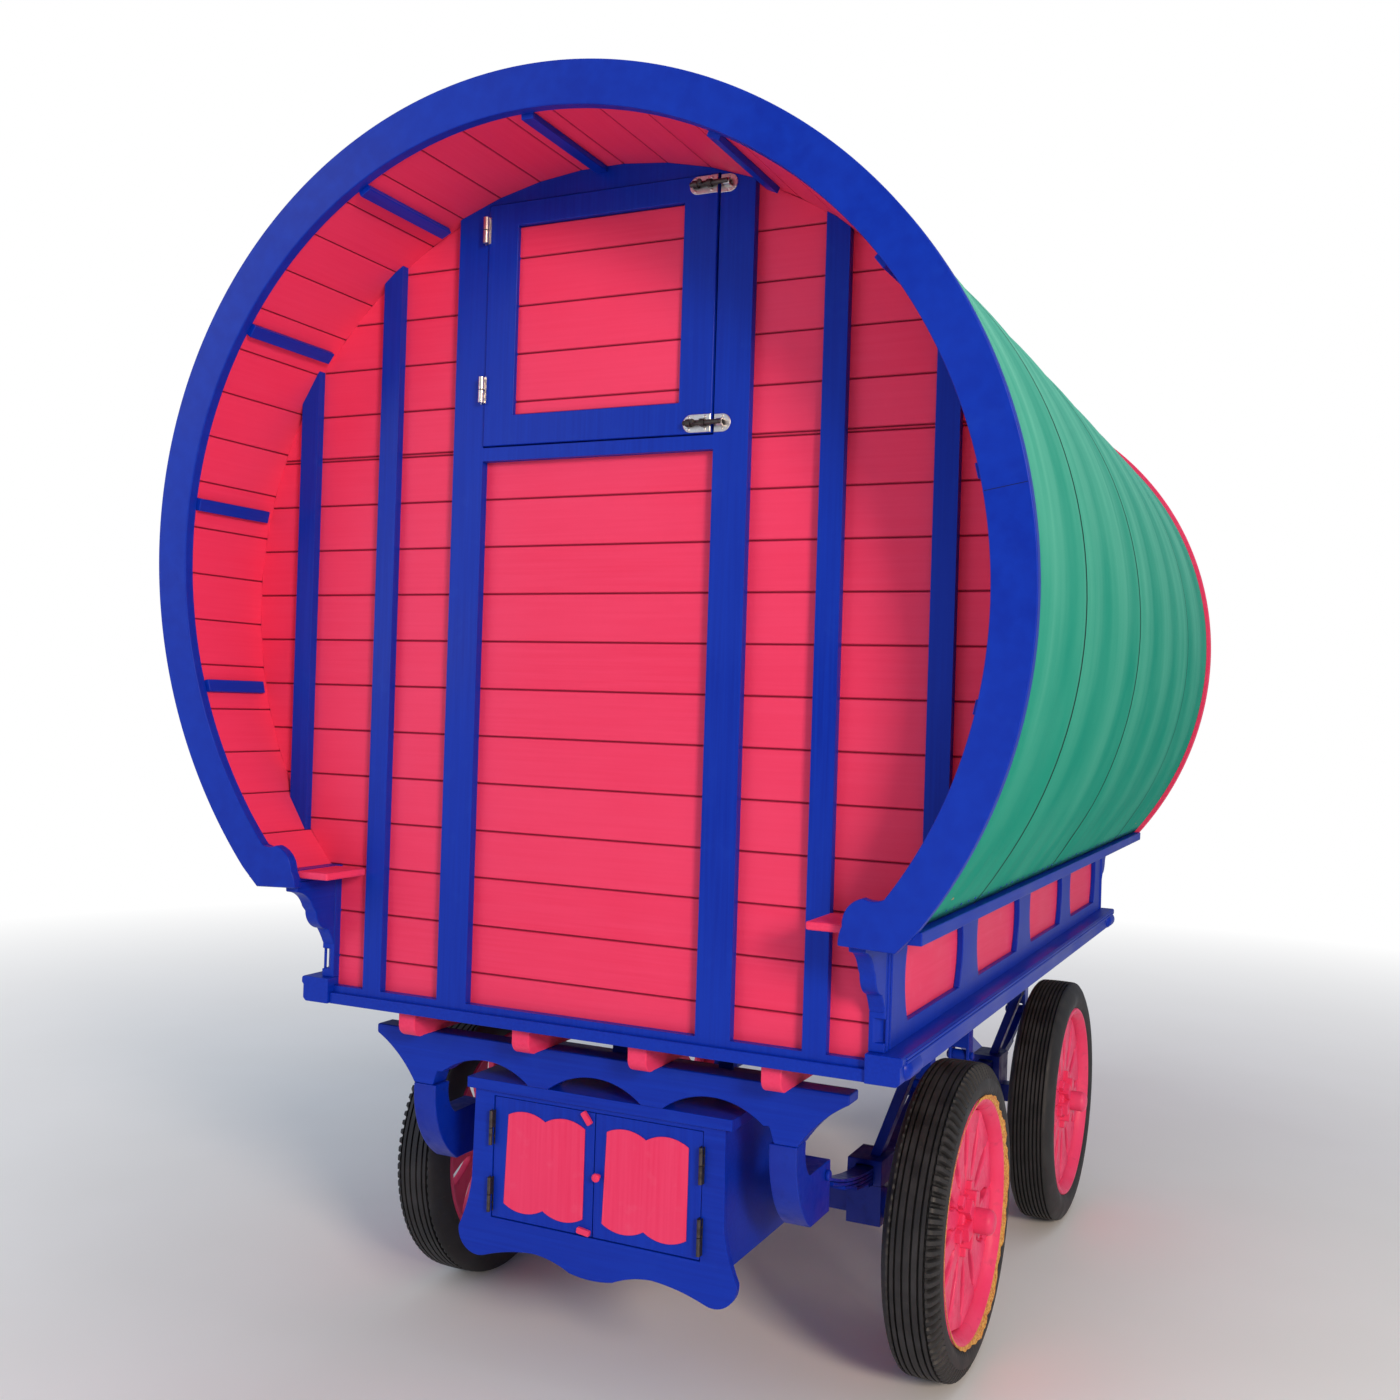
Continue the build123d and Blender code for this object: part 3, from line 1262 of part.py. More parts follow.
def slit(turn):
    """A pointed gap between two spokes, cut through the disc."""
    half = SLIT_W / 2
    span = SLIT_R1 - SLIT_R0
    points = [
        (0, SLIT_R0),
        (half, SLIT_R0 + span / 4),
        (half, SLIT_R1 - span * 3 / 8),
        (0, SLIT_R1),
        (-half, SLIT_R1 - span * 3 / 8),
        (-half, SLIT_R0 + span / 4),
    ]
    cut = plate_yz(points, DISC_X - CUT_OVER, DISC_X + DISC_T + CUT_OVER)
    return Rot(turn, 0, 0) * cut


def wheel_shape():
    """Hub, slit disc and rim about X, with the outside at +X."""
    half = RIM_W / 2
    rim_in = RIM_R - RIM_DEPTH
    disc_x1 = DISC_X + DISC_T
    section = [(-half, rim_in), (half, rim_in), (half, RIM_R - FIT), (-half, RIM_R - FIT)]
    shape = flat_ring(section, WHEEL_SIDES)
    disc = flatted_x(WHEEL_SIDES, rim_in + DISC_IN_RIM, DISC_X, disc_x1, 0, 0)
    for i in range(SLITS):
        disc = disc - slit(360.0 / SLITS * i)
    bore_r = ARM_R + PIN_FIT
    hub_section = [
        (-HUB_IN, bore_r),
        (-HUB_IN, HUB_R),
        (DISC_X - BASE_PROUD, HUB_R),
        (DISC_X - BASE_PROUD, HUB_BASE_R),
        (disc_x1 + BASE_PROUD, HUB_BASE_R),
        (disc_x1 + BASE_PROUD, HUB_R),
        (HUB_OUT - HUB_NOSE, HUB_R),
        (HUB_OUT, HUB_R - HUB_NOSE / 2),
        (HUB_OUT, bore_r),
    ]
    hub = flat_ring(hub_section, HUB_SIDES)
    plug = flatted_x(HUB_SIDES, HUB_R - HUB_NOSE, ARM_OUT + ARM_END_GAP, HUB_OUT, 0, 0)
    bore = flatted_x(HUB_SIDES, bore_r / cos(pi / HUB_SIDES), -HUB_IN, ARM_OUT + ARM_END_GAP, 0, 0)
    return (shape + (disc - bore) + hub) + plug


def tyre_shape():
    """A tyre about X, wider at the middle of its walls than at the rim and the tread."""
    half = TYRE_W / 2
    wall = WHEEL_R - RIM_R
    right = [
        (RIM_W / 2 - BEAD_IN, RIM_R),
        (half, RIM_R + WALL_SHARE * wall),
        (half - SHOULDER_IN, RIM_R + SHOULDER_SHARE * wall),
        (half - TREAD_IN, WHEEL_R),
    ]
    section = right + [(-x, r) for x, r in reversed(right)]
    return flat_ring(section, WHEEL_SIDES)


wheel_base = wheel_shape()
tyre_base = tyre_shape()
for wheel in WHEELS:
    turned = wheel_base if wheel.side > 0 else mirror(wheel_base, about=Plane.YZ)
    place = Pos(wheel.side * WHEEL_X, wheel.y, WHEEL_R)
    save(f"wheel_{wheel.name}", place * turned)
    save(f"tyre_{wheel.name}", place * tyre_base)
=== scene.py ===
"""The look of a bow-top living wagon: painted timber, a stretched canvas roof and rubber-tyred wheels.

Every class builds one sub-assembly over the CAD frame. Lengths are in metres and angles in radians,
with +X to the wagon's right, +Y towards the drawbar and +Z up.
"""

import json
import logging
from collections.abc import Callable, Sequence
from dataclasses import dataclass, field
from enum import Enum
from math import acos, atan2, cos, pi, radians, sin, sqrt, tan, tau
from typing import NamedTuple, Protocol

import bmesh
import bpy
import numpy as np
from mathutils import Matrix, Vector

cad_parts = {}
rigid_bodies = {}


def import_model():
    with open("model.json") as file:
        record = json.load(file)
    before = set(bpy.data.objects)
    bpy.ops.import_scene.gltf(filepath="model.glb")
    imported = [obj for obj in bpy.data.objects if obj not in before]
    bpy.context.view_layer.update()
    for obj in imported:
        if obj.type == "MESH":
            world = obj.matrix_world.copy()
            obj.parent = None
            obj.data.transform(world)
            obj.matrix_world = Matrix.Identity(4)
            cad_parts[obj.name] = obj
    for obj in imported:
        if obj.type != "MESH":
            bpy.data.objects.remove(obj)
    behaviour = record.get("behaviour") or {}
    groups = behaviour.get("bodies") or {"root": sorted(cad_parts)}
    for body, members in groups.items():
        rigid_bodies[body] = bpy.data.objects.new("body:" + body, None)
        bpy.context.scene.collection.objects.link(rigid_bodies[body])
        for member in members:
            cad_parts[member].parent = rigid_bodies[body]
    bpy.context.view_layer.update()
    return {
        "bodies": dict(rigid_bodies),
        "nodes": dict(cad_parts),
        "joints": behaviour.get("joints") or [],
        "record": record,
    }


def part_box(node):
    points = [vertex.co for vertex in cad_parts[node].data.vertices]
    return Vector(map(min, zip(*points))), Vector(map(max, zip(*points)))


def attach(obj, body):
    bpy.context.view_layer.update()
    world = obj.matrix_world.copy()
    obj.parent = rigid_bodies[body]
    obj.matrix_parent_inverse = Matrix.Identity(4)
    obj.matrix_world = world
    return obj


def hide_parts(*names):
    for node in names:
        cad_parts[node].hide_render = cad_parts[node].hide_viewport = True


LOG = logging.getLogger("wagon")
MM = 0.001
Material = bpy.types.Material
Object = bpy.types.Object
Socket = bpy.types.NodeSocket
Array = np.ndarray
Colour = tuple[float, float, float, float]
Point = tuple[float, float, float]
Spot = tuple[float, float]
SIDES = ((-1, "left"), (1, "right"))


# Shared sizes


@dataclass(frozen=True)
class Cabin:
    """Sizes of the cabin that several sub-assemblies share.

    Args:
        mid_y: the middle of the cabin along Y, read from the CAD end walls.
    """

    mid_y: float
    half_y: float = 1.300
    lining_x: float = 0.699
    wall_foot: float = 0.921
    ledge_top: float = 1.236
    ledge_low: float = 1.208
    wall_out: float = 0.735
    lining_r: float = 0.990
    lining_t: float = 0.016
    cover_r: float = 1.056
    cover_clear: float = 0.004
    flats: int = 41
    recess: float = 0.022
    board_t: float = 0.020
    porch: float = 0.173
    rake: float = 0.105
    rake_z: float = 1.240
    arch_t: float = 0.026
    stile_x: float = 0.302
    header_cover: float = 0.006
    window_h: float = 0.577
    door_z: float = 1.011
    split_z: float = 1.900
    leaf_gap: float = 0.003
    leaf_proud: float = 0.006
    pan_in: float = 0.107
    pan_gap: float = 0.002
    rear_axle_in: float = 0.734
    front_axle_in: float = 0.596

    @property
    def barrel_z(self) -> float:
        """The height of the barrel's axis, from which its lining meets the ledge over the wall's face."""
        return self.ledge_top + sqrt(self.lining_r**2 - self.wall_out**2)

    @property
    def header_z(self) -> float:
        """The top of the shutter's hole: the barrel's height over the stile, less a margin."""
        return self.barrel_z + sqrt(self.lining_r**2 - self.stile_x**2) - self.header_cover

    @property
    def window_z(self) -> float:
        """The foot of the shutter's hole."""
        return self.header_z - self.window_h

    @property
    def eaves(self) -> float:
        """The angle from the top of the barrel down to the ledge, with a fifth of a degree to spare."""
        return acos((self.ledge_top - self.barrel_z) / self.lining_r) + radians(0.2)

    @property
    def board_angle(self) -> float:
        """The angle that one lining board spans."""
        return 2 * self.eaves / self.flats

    @property
    def rear_axle_y(self) -> float:
        """The place of the rear axle along Y."""
        return self.mid_y - self.half_y + self.rear_axle_in

    @property
    def front_axle_y(self) -> float:
        """The place of the front axle along Y."""
        return self.mid_y + self.half_y - self.front_axle_in

    def arch_face(self, z: Array) -> Array:
        """How far an arch's outer face is from the middle: porch depth plus the rake times the height."""
        return self.half_y + self.porch + self.rake * (np.asarray(z) - self.rake_z)

    def half_width(self, z: Array) -> Array:
        """Half the inside width at height z: a chord of the barrel above the ledge, straight below it."""
        chord = np.sqrt(np.maximum(self.lining_r**2 - (z - self.barrel_z) ** 2, 0))
        return np.where(z < self.ledge_top, self.lining_x, chord)


# Colours and finishes


def srgb(code: str) -> Colour:
    """Linear colour of #RRGGBB: each channel c becomes ((c + 0.055) / 1.055) ** 2.4, or c / 12.92 if dark.

    Args:
        code: the colour as hex digits.
    Returns:
        Red, green, blue and an alpha of one.
    """
    parts = [int(code[i : i + 2], 16) / 255 for i in (1, 3, 5)]
    linear = [((c + 0.055) / 1.055) ** 2.4 if c > 0.04045 else c / 12.92 for c in parts]
    return (*linear, 1.0)


def add_node(
    tree: bpy.types.NodeTree, kind: str, inputs: dict | tuple = (), **settings: str
) -> bpy.types.Node:
    """A new shader node with its settings and links.

    Args:
        tree: the tree that it joins.
        kind: its type, without the word ShaderNode.
        inputs: values or output sockets, by an input's name or number, or in the inputs' order.
        settings: the node's own options.
    Returns:
        The node.
    """
    node = tree.nodes.new(f"ShaderNode{kind}")
    for name, value in settings.items():
        setattr(node, name, value)
    for name, value in inputs.items() if isinstance(inputs, dict) else enumerate(inputs):
        if isinstance(value, Socket):
            tree.links.new(value, node.inputs[name])
        else:
            node.inputs[name].default_value = value
    return node


class Grain(Enum):
    """The way the timber runs, with the length of a brush mark along X, Y and Z in millimetres."""

    ACROSS = (260.0, 7.0, 7.0)
    ALONG = (7.0, 260.0, 7.0)
    UP = (7.0, 7.0, 260.0)
    NONE = (34.0, 34.0, 34.0)


class Look:
    """A material under construction, with its tree, its shader and its object coordinates."""

    def __init__(self, name: str) -> None:
        """Start a material with one Principled shader.

        Args:
            name: the material's name.
        """
        self.material = bpy.data.materials.new(name)
        self.material.use_nodes = True
        self.tree = self.material.node_tree
        self.shader = self.tree.nodes["Principled BSDF"]
        self.coordinates = add_node(self.tree, "TexCoord").outputs["Object"]

    def patches(self, lengths_mm: Sequence[float], detail: float = 3.0, shift: float = 0.0) -> Socket:
        """Soft random patches of the given lengths.

        Args:
            lengths_mm: how long a patch is along X, Y and Z.
            detail: how many finer layers it has.
            shift: moves it, so that two patterns differ.
        Returns:
            Its value, from 0 to 1.
        """
        scale = tuple(1 / (MM * length) for length in lengths_mm)
        place = {"Vector": self.coordinates, "Scale": scale, "Location": (shift, shift, shift)}
        mapped = add_node(self.tree, "Mapping", place)
        inputs = {"Vector": mapped.outputs[0], "Scale": 1.0, "Detail": detail}
        return add_node(self.tree, "TexNoise", inputs).outputs["Fac"]

    def cloud(self, length_mm: float, detail: float = 3.0, shift: float = 0.0) -> Socket:
        """Patches of one length in every direction."""
        return self.patches((length_mm, length_mm, length_mm), detail, shift)

    def over(
        self, under: Socket | Colour, value: Socket, low: float, high: float, most: float, code: str
    ) -> Socket:
        """A colour laid over another one by a value; a Mix node takes colours at 6 and 7 and gives one at 2.

        Args:
            under: the colour that it covers.
            value: what says how much of it shows.
            low: the value at which none shows.
            high: the value at which most shows.
            most: the largest share of it.
            code: the colour laid over.
        Returns:
            The mixed colour.
        """
        share = add_node(self.tree, "MapRange", (value, low, high, 0.0, most))
        blend = {0: share.outputs[0], 6: under, 7: srgb(code)}
        return add_node(self.tree, "Mix", blend, data_type="RGBA").outputs[2]

    def relief(self, *layers: tuple[Socket, float]) -> Socket:
        """Relief for the shader's normal.

        Args:
            layers: patterns from 0 to 1, each with its depth in millimetres, the lowest first.
        Returns:
            The normal.
        """
        below: dict = {}
        for height, depth_mm in layers:
            inputs = {"Height": height, "Strength": 1.0, "Distance": depth_mm * MM}
            below["Normal"] = add_node(self.tree, "Bump", {**inputs, **below}).outputs[0]
        return below["Normal"]

    def set(self, **inputs: Socket | Colour | float) -> None:
        """Fill the shader's inputs.

        Args:
            inputs: values or sockets, with the input's words joined by underscores.
        """
        for name, value in inputs.items():
            socket = self.shader.inputs[name.replace("_", " ").title().replace("Ior", "IOR")]
            if isinstance(value, Socket):
                self.tree.links.new(value, socket)
            else:
                socket.default_value = value


@dataclass(frozen=True)
class BrushedPaint:
    """Gloss paint brushed on timber: the eye gets long brush marks, cloudy cover and soft highlights."""

    name: str
    colour: str
    thin: str
    dusty: str
    roughness: float = 0.36
    mark_depth: float = 0.12
    specular: float = 0.2

    def build(self, grain: Grain) -> Material:
        """The paint with its brush marks along the grain.

        Args:
            grain: the way the timber runs.
        Returns:
            The material.
        """
        look = Look(f"{self.name} {grain.name.lower()}")
        marks = look.patches(grain.value, detail=4.0)
        clouds = look.cloud(420.0, detail=2.0, shift=3.0)
        dust = look.cloud(46.0, detail=6.0, shift=7.0)
        colour = look.over(srgb(self.colour), marks, 0.35, 0.7, 0.5, self.thin)
        colour = look.over(colour, clouds, 0.35, 0.7, 0.4, self.thin)
        colour = look.over(colour, dust, 0.6, 0.8, 0.2, self.dusty)
        relief = look.relief((marks, self.mark_depth), (look.cloud(9.0, detail=2.0), 0.6 * self.mark_depth))
        span = (clouds, 0.3, 0.7, self.roughness - 0.07, self.roughness + 0.12)
        rough = add_node(look.tree, "MapRange", span).outputs[0]
        look.set(base_color=colour, roughness=rough, normal=relief, specular_ior_level=self.specular)
        return look.material


@dataclass(frozen=True)
class BoardPaint:
    """Satin paint on grooved boards: the eye gets each board's own tone and painted shade in each joint's
    groove.
    """

    name: str
    colour: str
    thin: str
    # The colour of the painted shade at the bottom of each groove
    joint: str
    roughness: float = 0.5

    def build(self, grain: Grain) -> Material:
        """The paint for boards that carry the attributes ``tone`` and ``joint``; the second gives painted
        shade, darkest at the bottom of each groove.

        Args:
            grain: the way the timber runs.
        Returns:
            The material.
        """
        look = Look(f"{self.name} {grain.name.lower()}")
        marks = look.patches(grain.value, detail=4.0)
        clouds = look.cloud(380.0, detail=2.0, shift=5.0)
        colour = look.over(srgb(self.colour), marks, 0.35, 0.75, 0.4, self.thin)
        colour = look.over(colour, clouds, 0.35, 0.7, 0.3, self.thin)
        tone = add_node(look.tree, "Attribute", attribute_name="tone").outputs["Fac"]
        # Painted shade in the grooves, darkest at their bottom
        joint = add_node(look.tree, "Attribute", attribute_name="joint").outputs["Fac"]
        colour = look.over(colour, tone, 0.0, 1.0, 0.3, self.thin)
        colour = look.over(colour, joint, 0.0, 1.0, 1.0, self.joint)
        relief = look.relief((marks, 0.15))
        look.set(base_color=colour, roughness=self.roughness, normal=relief, specular_ior_level=0.25)
        return look.material


@dataclass(frozen=True)
class IronPaint:
    """Thick enamel over forged iron: the eye gets a lumpy skin, runs and sharp glints."""

    name: str
    colour: str
    thin: str
    grime: str
    roughness: float = 0.3

    def build(self) -> Material:
        """The enamel, the same in all directions.

        Returns:
            The material.
        """
        look = Look(self.name)
        lumps = look.patches((16.0, 16.0, 22.0), detail=3.0)
        clouds = look.cloud(120.0, detail=3.0, shift=2.0)
        grime = look.cloud(28.0, detail=8.0, shift=9.0)
        colour = look.over(srgb(self.colour), clouds, 0.35, 0.7, 0.6, self.thin)
        colour = look.over(colour, grime, 0.6, 0.85, 0.5, self.grime)
        relief = look.relief((lumps, 0.8))
        span = (grime, 0.4, 0.8, self.roughness, self.roughness + 0.25)
        rough = add_node(look.tree, "MapRange", span).outputs[0]
        look.set(base_color=colour, roughness=rough, normal=relief, specular_ior_level=0.3)
        return look.material


@dataclass(frozen=True)
class CanvasCloth:
    """Proofed cotton canvas: the eye gets a fine weave, weathered streaks, dark seams, a dull sheen and
    painted light, paler along the top and in bands between the hoops.
    """

    seams: tuple[float, ...]
    name: str = "teal canvas"
    colour: str = "#00957E"
    # The pale colour shows in random pale patches, and as painted light towards the top and between the hoops
    pale_and_lit: str = "#80D4BC"
    seam: str = "#04332C"
    seam_half: float = 0.0045
    # Real threads are about 0.7 mm apart, too fine to show, so the weave is drawn coarser
    weave_mm: float = 1.6

    def build(self) -> Material:
        """The cloth, which reads the attribute ``along`` of its sheet and one more that gives the share of
        painted light.

        A seam is where the least of the distances |along - seam| is under the seam's half width.

        Returns:
            The material.
        """
        look = Look(self.name)
        tree = look.tree
        streaks = look.patches((900.0, 55.0, 900.0), detail=4.0)
        clouds = look.patches((340.0, 240.0, 340.0), detail=3.0, shift=4.0)
        weave = look.cloud(self.weave_mm, detail=1.0)
        # Painted light: a share that grows towards the top of the cover and in bands between the hoops,
        # broken up by the streaks
        painted_light = add_node(tree, "Attribute", attribute_name="painted_light").outputs["Fac"]
        uneven = add_node(tree, "MapRange", (streaks, 0.25, 0.75, 0.35, 1.0)).outputs[0]
        streaked_light = add_node(tree, "Math", (painted_light, uneven), operation="MULTIPLY").outputs[0]
        colour = look.over(srgb(self.colour), streaked_light, 0.0, 1.0, 1.0, self.pale_and_lit)
        colour = look.over(colour, clouds, 0.4, 0.75, 0.12, self.pale_and_lit)
        along = add_node(tree, "Attribute", attribute_name="along").outputs["Fac"]
        gap = 1.0
        for place in self.seams:
            offset = add_node(tree, "Math", (along, place), operation="SUBTRACT").outputs[0]
            distance = add_node(tree, "Math", (offset,), operation="ABSOLUTE").outputs[0]
            gap = add_node(tree, "Math", (distance, gap), operation="MINIMUM").outputs[0]
        colour = look.over(colour, gap, 1.6 * self.seam_half, self.seam_half, 1.0, self.seam)
        fold = add_node(tree, "MapRange", (gap, 0.0, 5 * self.seam_half, 0.0, 1.0)).outputs[0]
        relief = look.relief((weave, 0.3), (fold, 1.5))
        look.set(base_color=colour, roughness=0.85, normal=relief, specular_ior_level=0.2)
        return look.material


@dataclass(frozen=True)
class TyreRubber:
    """Worn black rubber: the eye gets charcoal with a grey bloom, painted shade in the grooves and cuts, and
    specks of dried mud.
    """

    name: str = "tyre rubber"
    colour: str = "#18181A"
    bloom: str = "#3A3A3D"
    mud: str = "#4A4038"
    # The colour of the painted shade at the bottom of the grooves and cuts
    deep: str = "#050506"

    def build(self) -> Material:
        """The rubber, with bloom on large patches, mud in small ones and painted shade down in the grooves
        and cuts.

        Returns:
            The material.
        """
        look = Look(self.name)
        bloom = look.cloud(60.0, detail=6.0)
        specks = look.cloud(11.0, detail=8.0, shift=6.0)
        colour = look.over(srgb(self.colour), bloom, 0.4, 0.75, 0.7, self.bloom)
        colour = look.over(colour, specks, 0.62, 0.8, 0.45, self.mud)
        # Painted shade: darker the deeper a point is in a groove or a cut
        deep = add_node(look.tree, "Attribute", attribute_name="deep").outputs["Fac"]
        colour = look.over(colour, deep, 0.0, 1.0, 1.0, self.deep)
        rough = add_node(look.tree, "MapRange", (bloom, 0.3, 0.7, 0.5, 0.8)).outputs[0]
        look.set(base_color=colour, roughness=rough, normal=look.relief((specks, 0.4)))
        return look.material


@dataclass(frozen=True)
class Metal:
    """Bare metal: the eye gets a brushed glint broken by dull patches and darker stain."""

    name: str
    colour: str
    stain: str
    roughness: float
    stained: float

    def build(self) -> Material:
        """The metal with its stain.

        Returns:
            The material.
        """
        look = Look(self.name)
        scratch = look.patches((30.0, 2.0, 2.0), detail=3.0)
        patches = look.cloud(14.0, detail=7.0, shift=4.0)
        colour = look.over(srgb(self.colour), patches, 0.45, 0.75, self.stained, self.stain)
        span = (patches, 0.3, 0.75, self.roughness, self.roughness + 0.3)
        rough = add_node(look.tree, "MapRange", span).outputs[0]
        look.set(base_color=colour, metallic=1.0, roughness=rough, normal=look.relief((scratch, 0.08)))
        return look.material


@dataclass(frozen=True)
class FlakedPaint:
    """Old yellow paint left along a rim's edge: the eye gets flaked orange and straw-coloured patches."""

    name: str = "old yellow rim paint"
    colour: str = "#D9A441"
    deep: str = "#B8642C"
    pale: str = "#E8D49A"

    def build(self) -> Material:
        """The remains, rough and patchy.

        Returns:
            The material.
        """
        look = Look(self.name)
        patches = look.cloud(7.0, detail=6.0)
        flakes = look.cloud(3.0, detail=4.0, shift=5.0)
        colour = look.over(srgb(self.colour), patches, 0.4, 0.62, 1.0, self.deep)
        colour = look.over(colour, flakes, 0.55, 0.7, 0.8, self.pale)
        look.set(base_color=colour, roughness=0.7, normal=look.relief((flakes, 0.6)))
        return look.material


@dataclass(frozen=True)
class BareTimber:
    """Unpainted softwood: the eye gets straw-coloured boards with darker growth rings along them."""

    name: str = "bare softwood"
    colour: str = "#B98D5C"
    ring: str = "#7F5A36"

    def build(self, grain: Grain) -> Material:
        """The timber with its rings stretched along the grain.

        Args:
            grain: the way the timber runs.
        Returns:
            The material.
        """
        look = Look(f"{self.name} {grain.name.lower()}")
        rings = look.patches(tuple(3 * length for length in grain.value), detail=7.0)
        colour = look.over(srgb(self.colour), rings, 0.4, 0.65, 0.8, self.ring)
        look.set(base_color=colour, roughness=0.7, normal=look.relief((rings, 0.3)))
        return look.material


BLUE_PAINT = BrushedPaint("blue gloss paint", "#0228A0", "#0638B8", "#1846B8")
PINK_PAINT = BrushedPaint("pink gloss paint", "#EA3562", "#F04A74", "#F07C98", roughness=0.45)
# The pink boards' last colour is the painted shade in their grooves
PINK_BOARDS = BoardPaint("pink satin boards", "#E8325C", "#F04770", "#5A0C20")
BLUE_IRON = IronPaint("blue enamel on iron", "#022498", "#0836B2", "#0C164C")
PINK_IRON = IronPaint("pink enamel on iron", "#E63A6A", "#EE5480", "#8E3A50", roughness=0.36)
BRIGHT_STEEL = Metal("bright zinc-plated steel", "#DEDBD6", "#9A9088", 0.24, 0.4)
DARK_STAIN = IronPaint("dark paint in a joint", "#040D36", "#08154A", "#02040F", roughness=0.7)
DARK_STEEL = Metal("dull oiled steel", "#5A5654", "#2B2624", 0.42, 0.7)


class Finish(Protocol):
    """What a finish has: a name, and a method that builds its material."""

    name: str

    def build(self, *grain: Grain) -> Material:
        """The material, along a grain where the finish has one."""


class Palette:
    """All materials, each built the first time that it is asked for."""

    def __init__(self) -> None:
        """Start with nothing built."""
        self.built: dict[str, Material] = {}

    def get(self, finish: Finish, *grain: Grain) -> Material:
        """The material of a finish.

        Args:
            finish: what it looks like.
            grain: the way the timber runs, where the finish follows it.
        Returns:
            The material, the same one each time.
        """
        key = f"{finish.name} {grain}"
        if key not in self.built:
            self.built[key] = finish.build(*grain)
        return self.built[key]


# Mesh tools


class Shell(NamedTuple):
    """Points of one or more closed shells, with arrays of point numbers for their faces."""

    points: Array
    faces: list[Array]


def quads_between(rows: int, cols: int, close_rows: bool = False, close_cols: bool = False) -> Array:
    """The quads of a grid of points stored row by row.

    Args:
        rows: how many rows there are.
        cols: how many points a row has.
        close_rows: join the last row to the first.
        close_cols: join the last column to the first.
    Returns:
        Point numbers, four to a row.
    """
    row = np.arange(rows if close_rows else rows - 1)
    col = np.arange(cols if close_cols else cols - 1)
    r0, c0 = np.meshgrid(row, col, indexing="ij")
    r1 = (r0 + 1) % rows
    c1 = (c0 + 1) % cols
    corners = [r0 * cols + c0, r0 * cols + c1, r1 * cols + c1, r1 * cols + c0]
    return np.stack(corners, axis=-1).reshape(-1, 4)


def bars(*axes: Array) -> Shell:
    """Closed bars with flat ends, from rings of points carried along stations.

    Args:
        axes: the X, Y and Z of the points, each of the shape (bars, stations, ring).
    Returns:
        The shell.
    """
    points = np.stack(np.broadcast_arrays(*axes), axis=-1)
    count, stations, ring = points.shape[:3]
    sides = quads_between(stations, ring, close_cols=True)
    ends = np.stack([np.arange(ring), np.arange(ring) + (stations - 1) * ring])
    shift = np.arange(count)[:, None, None] * (stations * ring)
    return Shell(points, [(sides + shift).reshape(-1, 4), (ends + shift).reshape(-1, ring)])


def three_point_arc(a: Spot, b: Spot, c: Spot, count: int) -> Array:
    """Points of the circular arc through three places.

    The centre is where the perpendicular bisectors of ab and bc meet, and the angle runs evenly.

    Args:
        a: where it starts.
        b: a place on the way.
        c: where it ends.
        count: how many points it has.
    Returns:
        The points, one to a row.
    """
    (ax, ay), (bx, by), (cx, cy) = a, b, c
    d = 2 * (ax * (by - cy) + bx * (cy - ay) + cx * (ay - by))
    aa, bb, cc = ax**2 + ay**2, bx**2 + by**2, cx**2 + cy**2
    ux = (aa * (by - cy) + bb * (cy - ay) + cc * (ay - by)) / d
    uy = (aa * (cx - bx) + bb * (ax - cx) + cc * (bx - ax)) / d
    start = atan2(ay - uy, ax - ux)
    half = (atan2(by - uy, bx - ux) - start) % tau
    whole = (atan2(cy - uy, cx - ux) - start) % tau
    if half > whole:
        whole -= tau
    angle = start + np.linspace(0, whole, count)
    radius = sqrt((ax - ux) ** 2 + (ay - uy) ** 2)
    return np.stack([ux + radius * np.cos(angle), uy + radius * np.sin(angle)], axis=-1)


def mesh_object(
    name: str, shell: Shell, material: Material, crease: float = radians(35), closed: bool = True
) -> Object:
    """A mesh from points and faces.

    Args:
        name: the piece's name.
        shell: its points and faces.
        material: what covers it.
        crease: edges that turn by more than this stay sharp.
        closed: turn all faces outwards.
    Returns:
        The object, linked to the scene.
    """
    mesh = bpy.data.meshes.new(name)
    rows = [row for block in shell.faces for row in block.tolist()]
    mesh.from_pydata(shell.points.reshape(-1, 3).tolist(), [], rows)
    if closed:
        work = bmesh.new()
        work.from_mesh(mesh)
        bmesh.ops.recalc_face_normals(work, faces=work.faces)
        work.to_mesh(mesh)
        work.free()
    return shaded(mesh, material, crease)


def shaded(mesh: bpy.types.Mesh, material: Material, crease: float) -> Object:
    """An object of a mesh, smooth but for its sharp edges.

    Args:
        mesh: the mesh, whose name the object takes.
        material: what covers it.
        crease: edges that turn by more than this stay sharp.
    Returns:
        The object, linked to the scene.
    """
    mesh.polygons.foreach_set("use_smooth", np.ones(len(mesh.polygons), bool))
    mesh.set_sharp_from_angle(angle=crease)
    mesh.materials.append(material)
    obj = bpy.data.objects.new(mesh.name, mesh)
    bpy.context.scene.collection.objects.link(obj)
    return obj


def store(obj: Object, name: str, values: Array) -> None:
    """Keep one number for each point of a mesh."""
    layer = obj.data.attributes.new(name, "FLOAT", "POINT")
    layer.data.foreach_set("value", np.ascontiguousarray(values, np.float32).ravel())


def soften(obj: Object, width: float, segments: int = 2, angle: float = radians(40)) -> Object:
    """Round the arrises of a piece.

    Args:
        obj: the piece.
        width: how far the rounding reaches from an arris.
        segments: how many facets it has.
        angle: arrises that turn by less stay as they are.
    Returns:
        The piece.
    """
    bevel = obj.modifiers.new("arris", "BEVEL")
    bevel.width = width
    bevel.segments = segments
    bevel.limit_method = "ANGLE"
    bevel.angle_limit = angle
    bevel.harden_normals = True
    bevel.use_clamp_overlap = True
    return obj


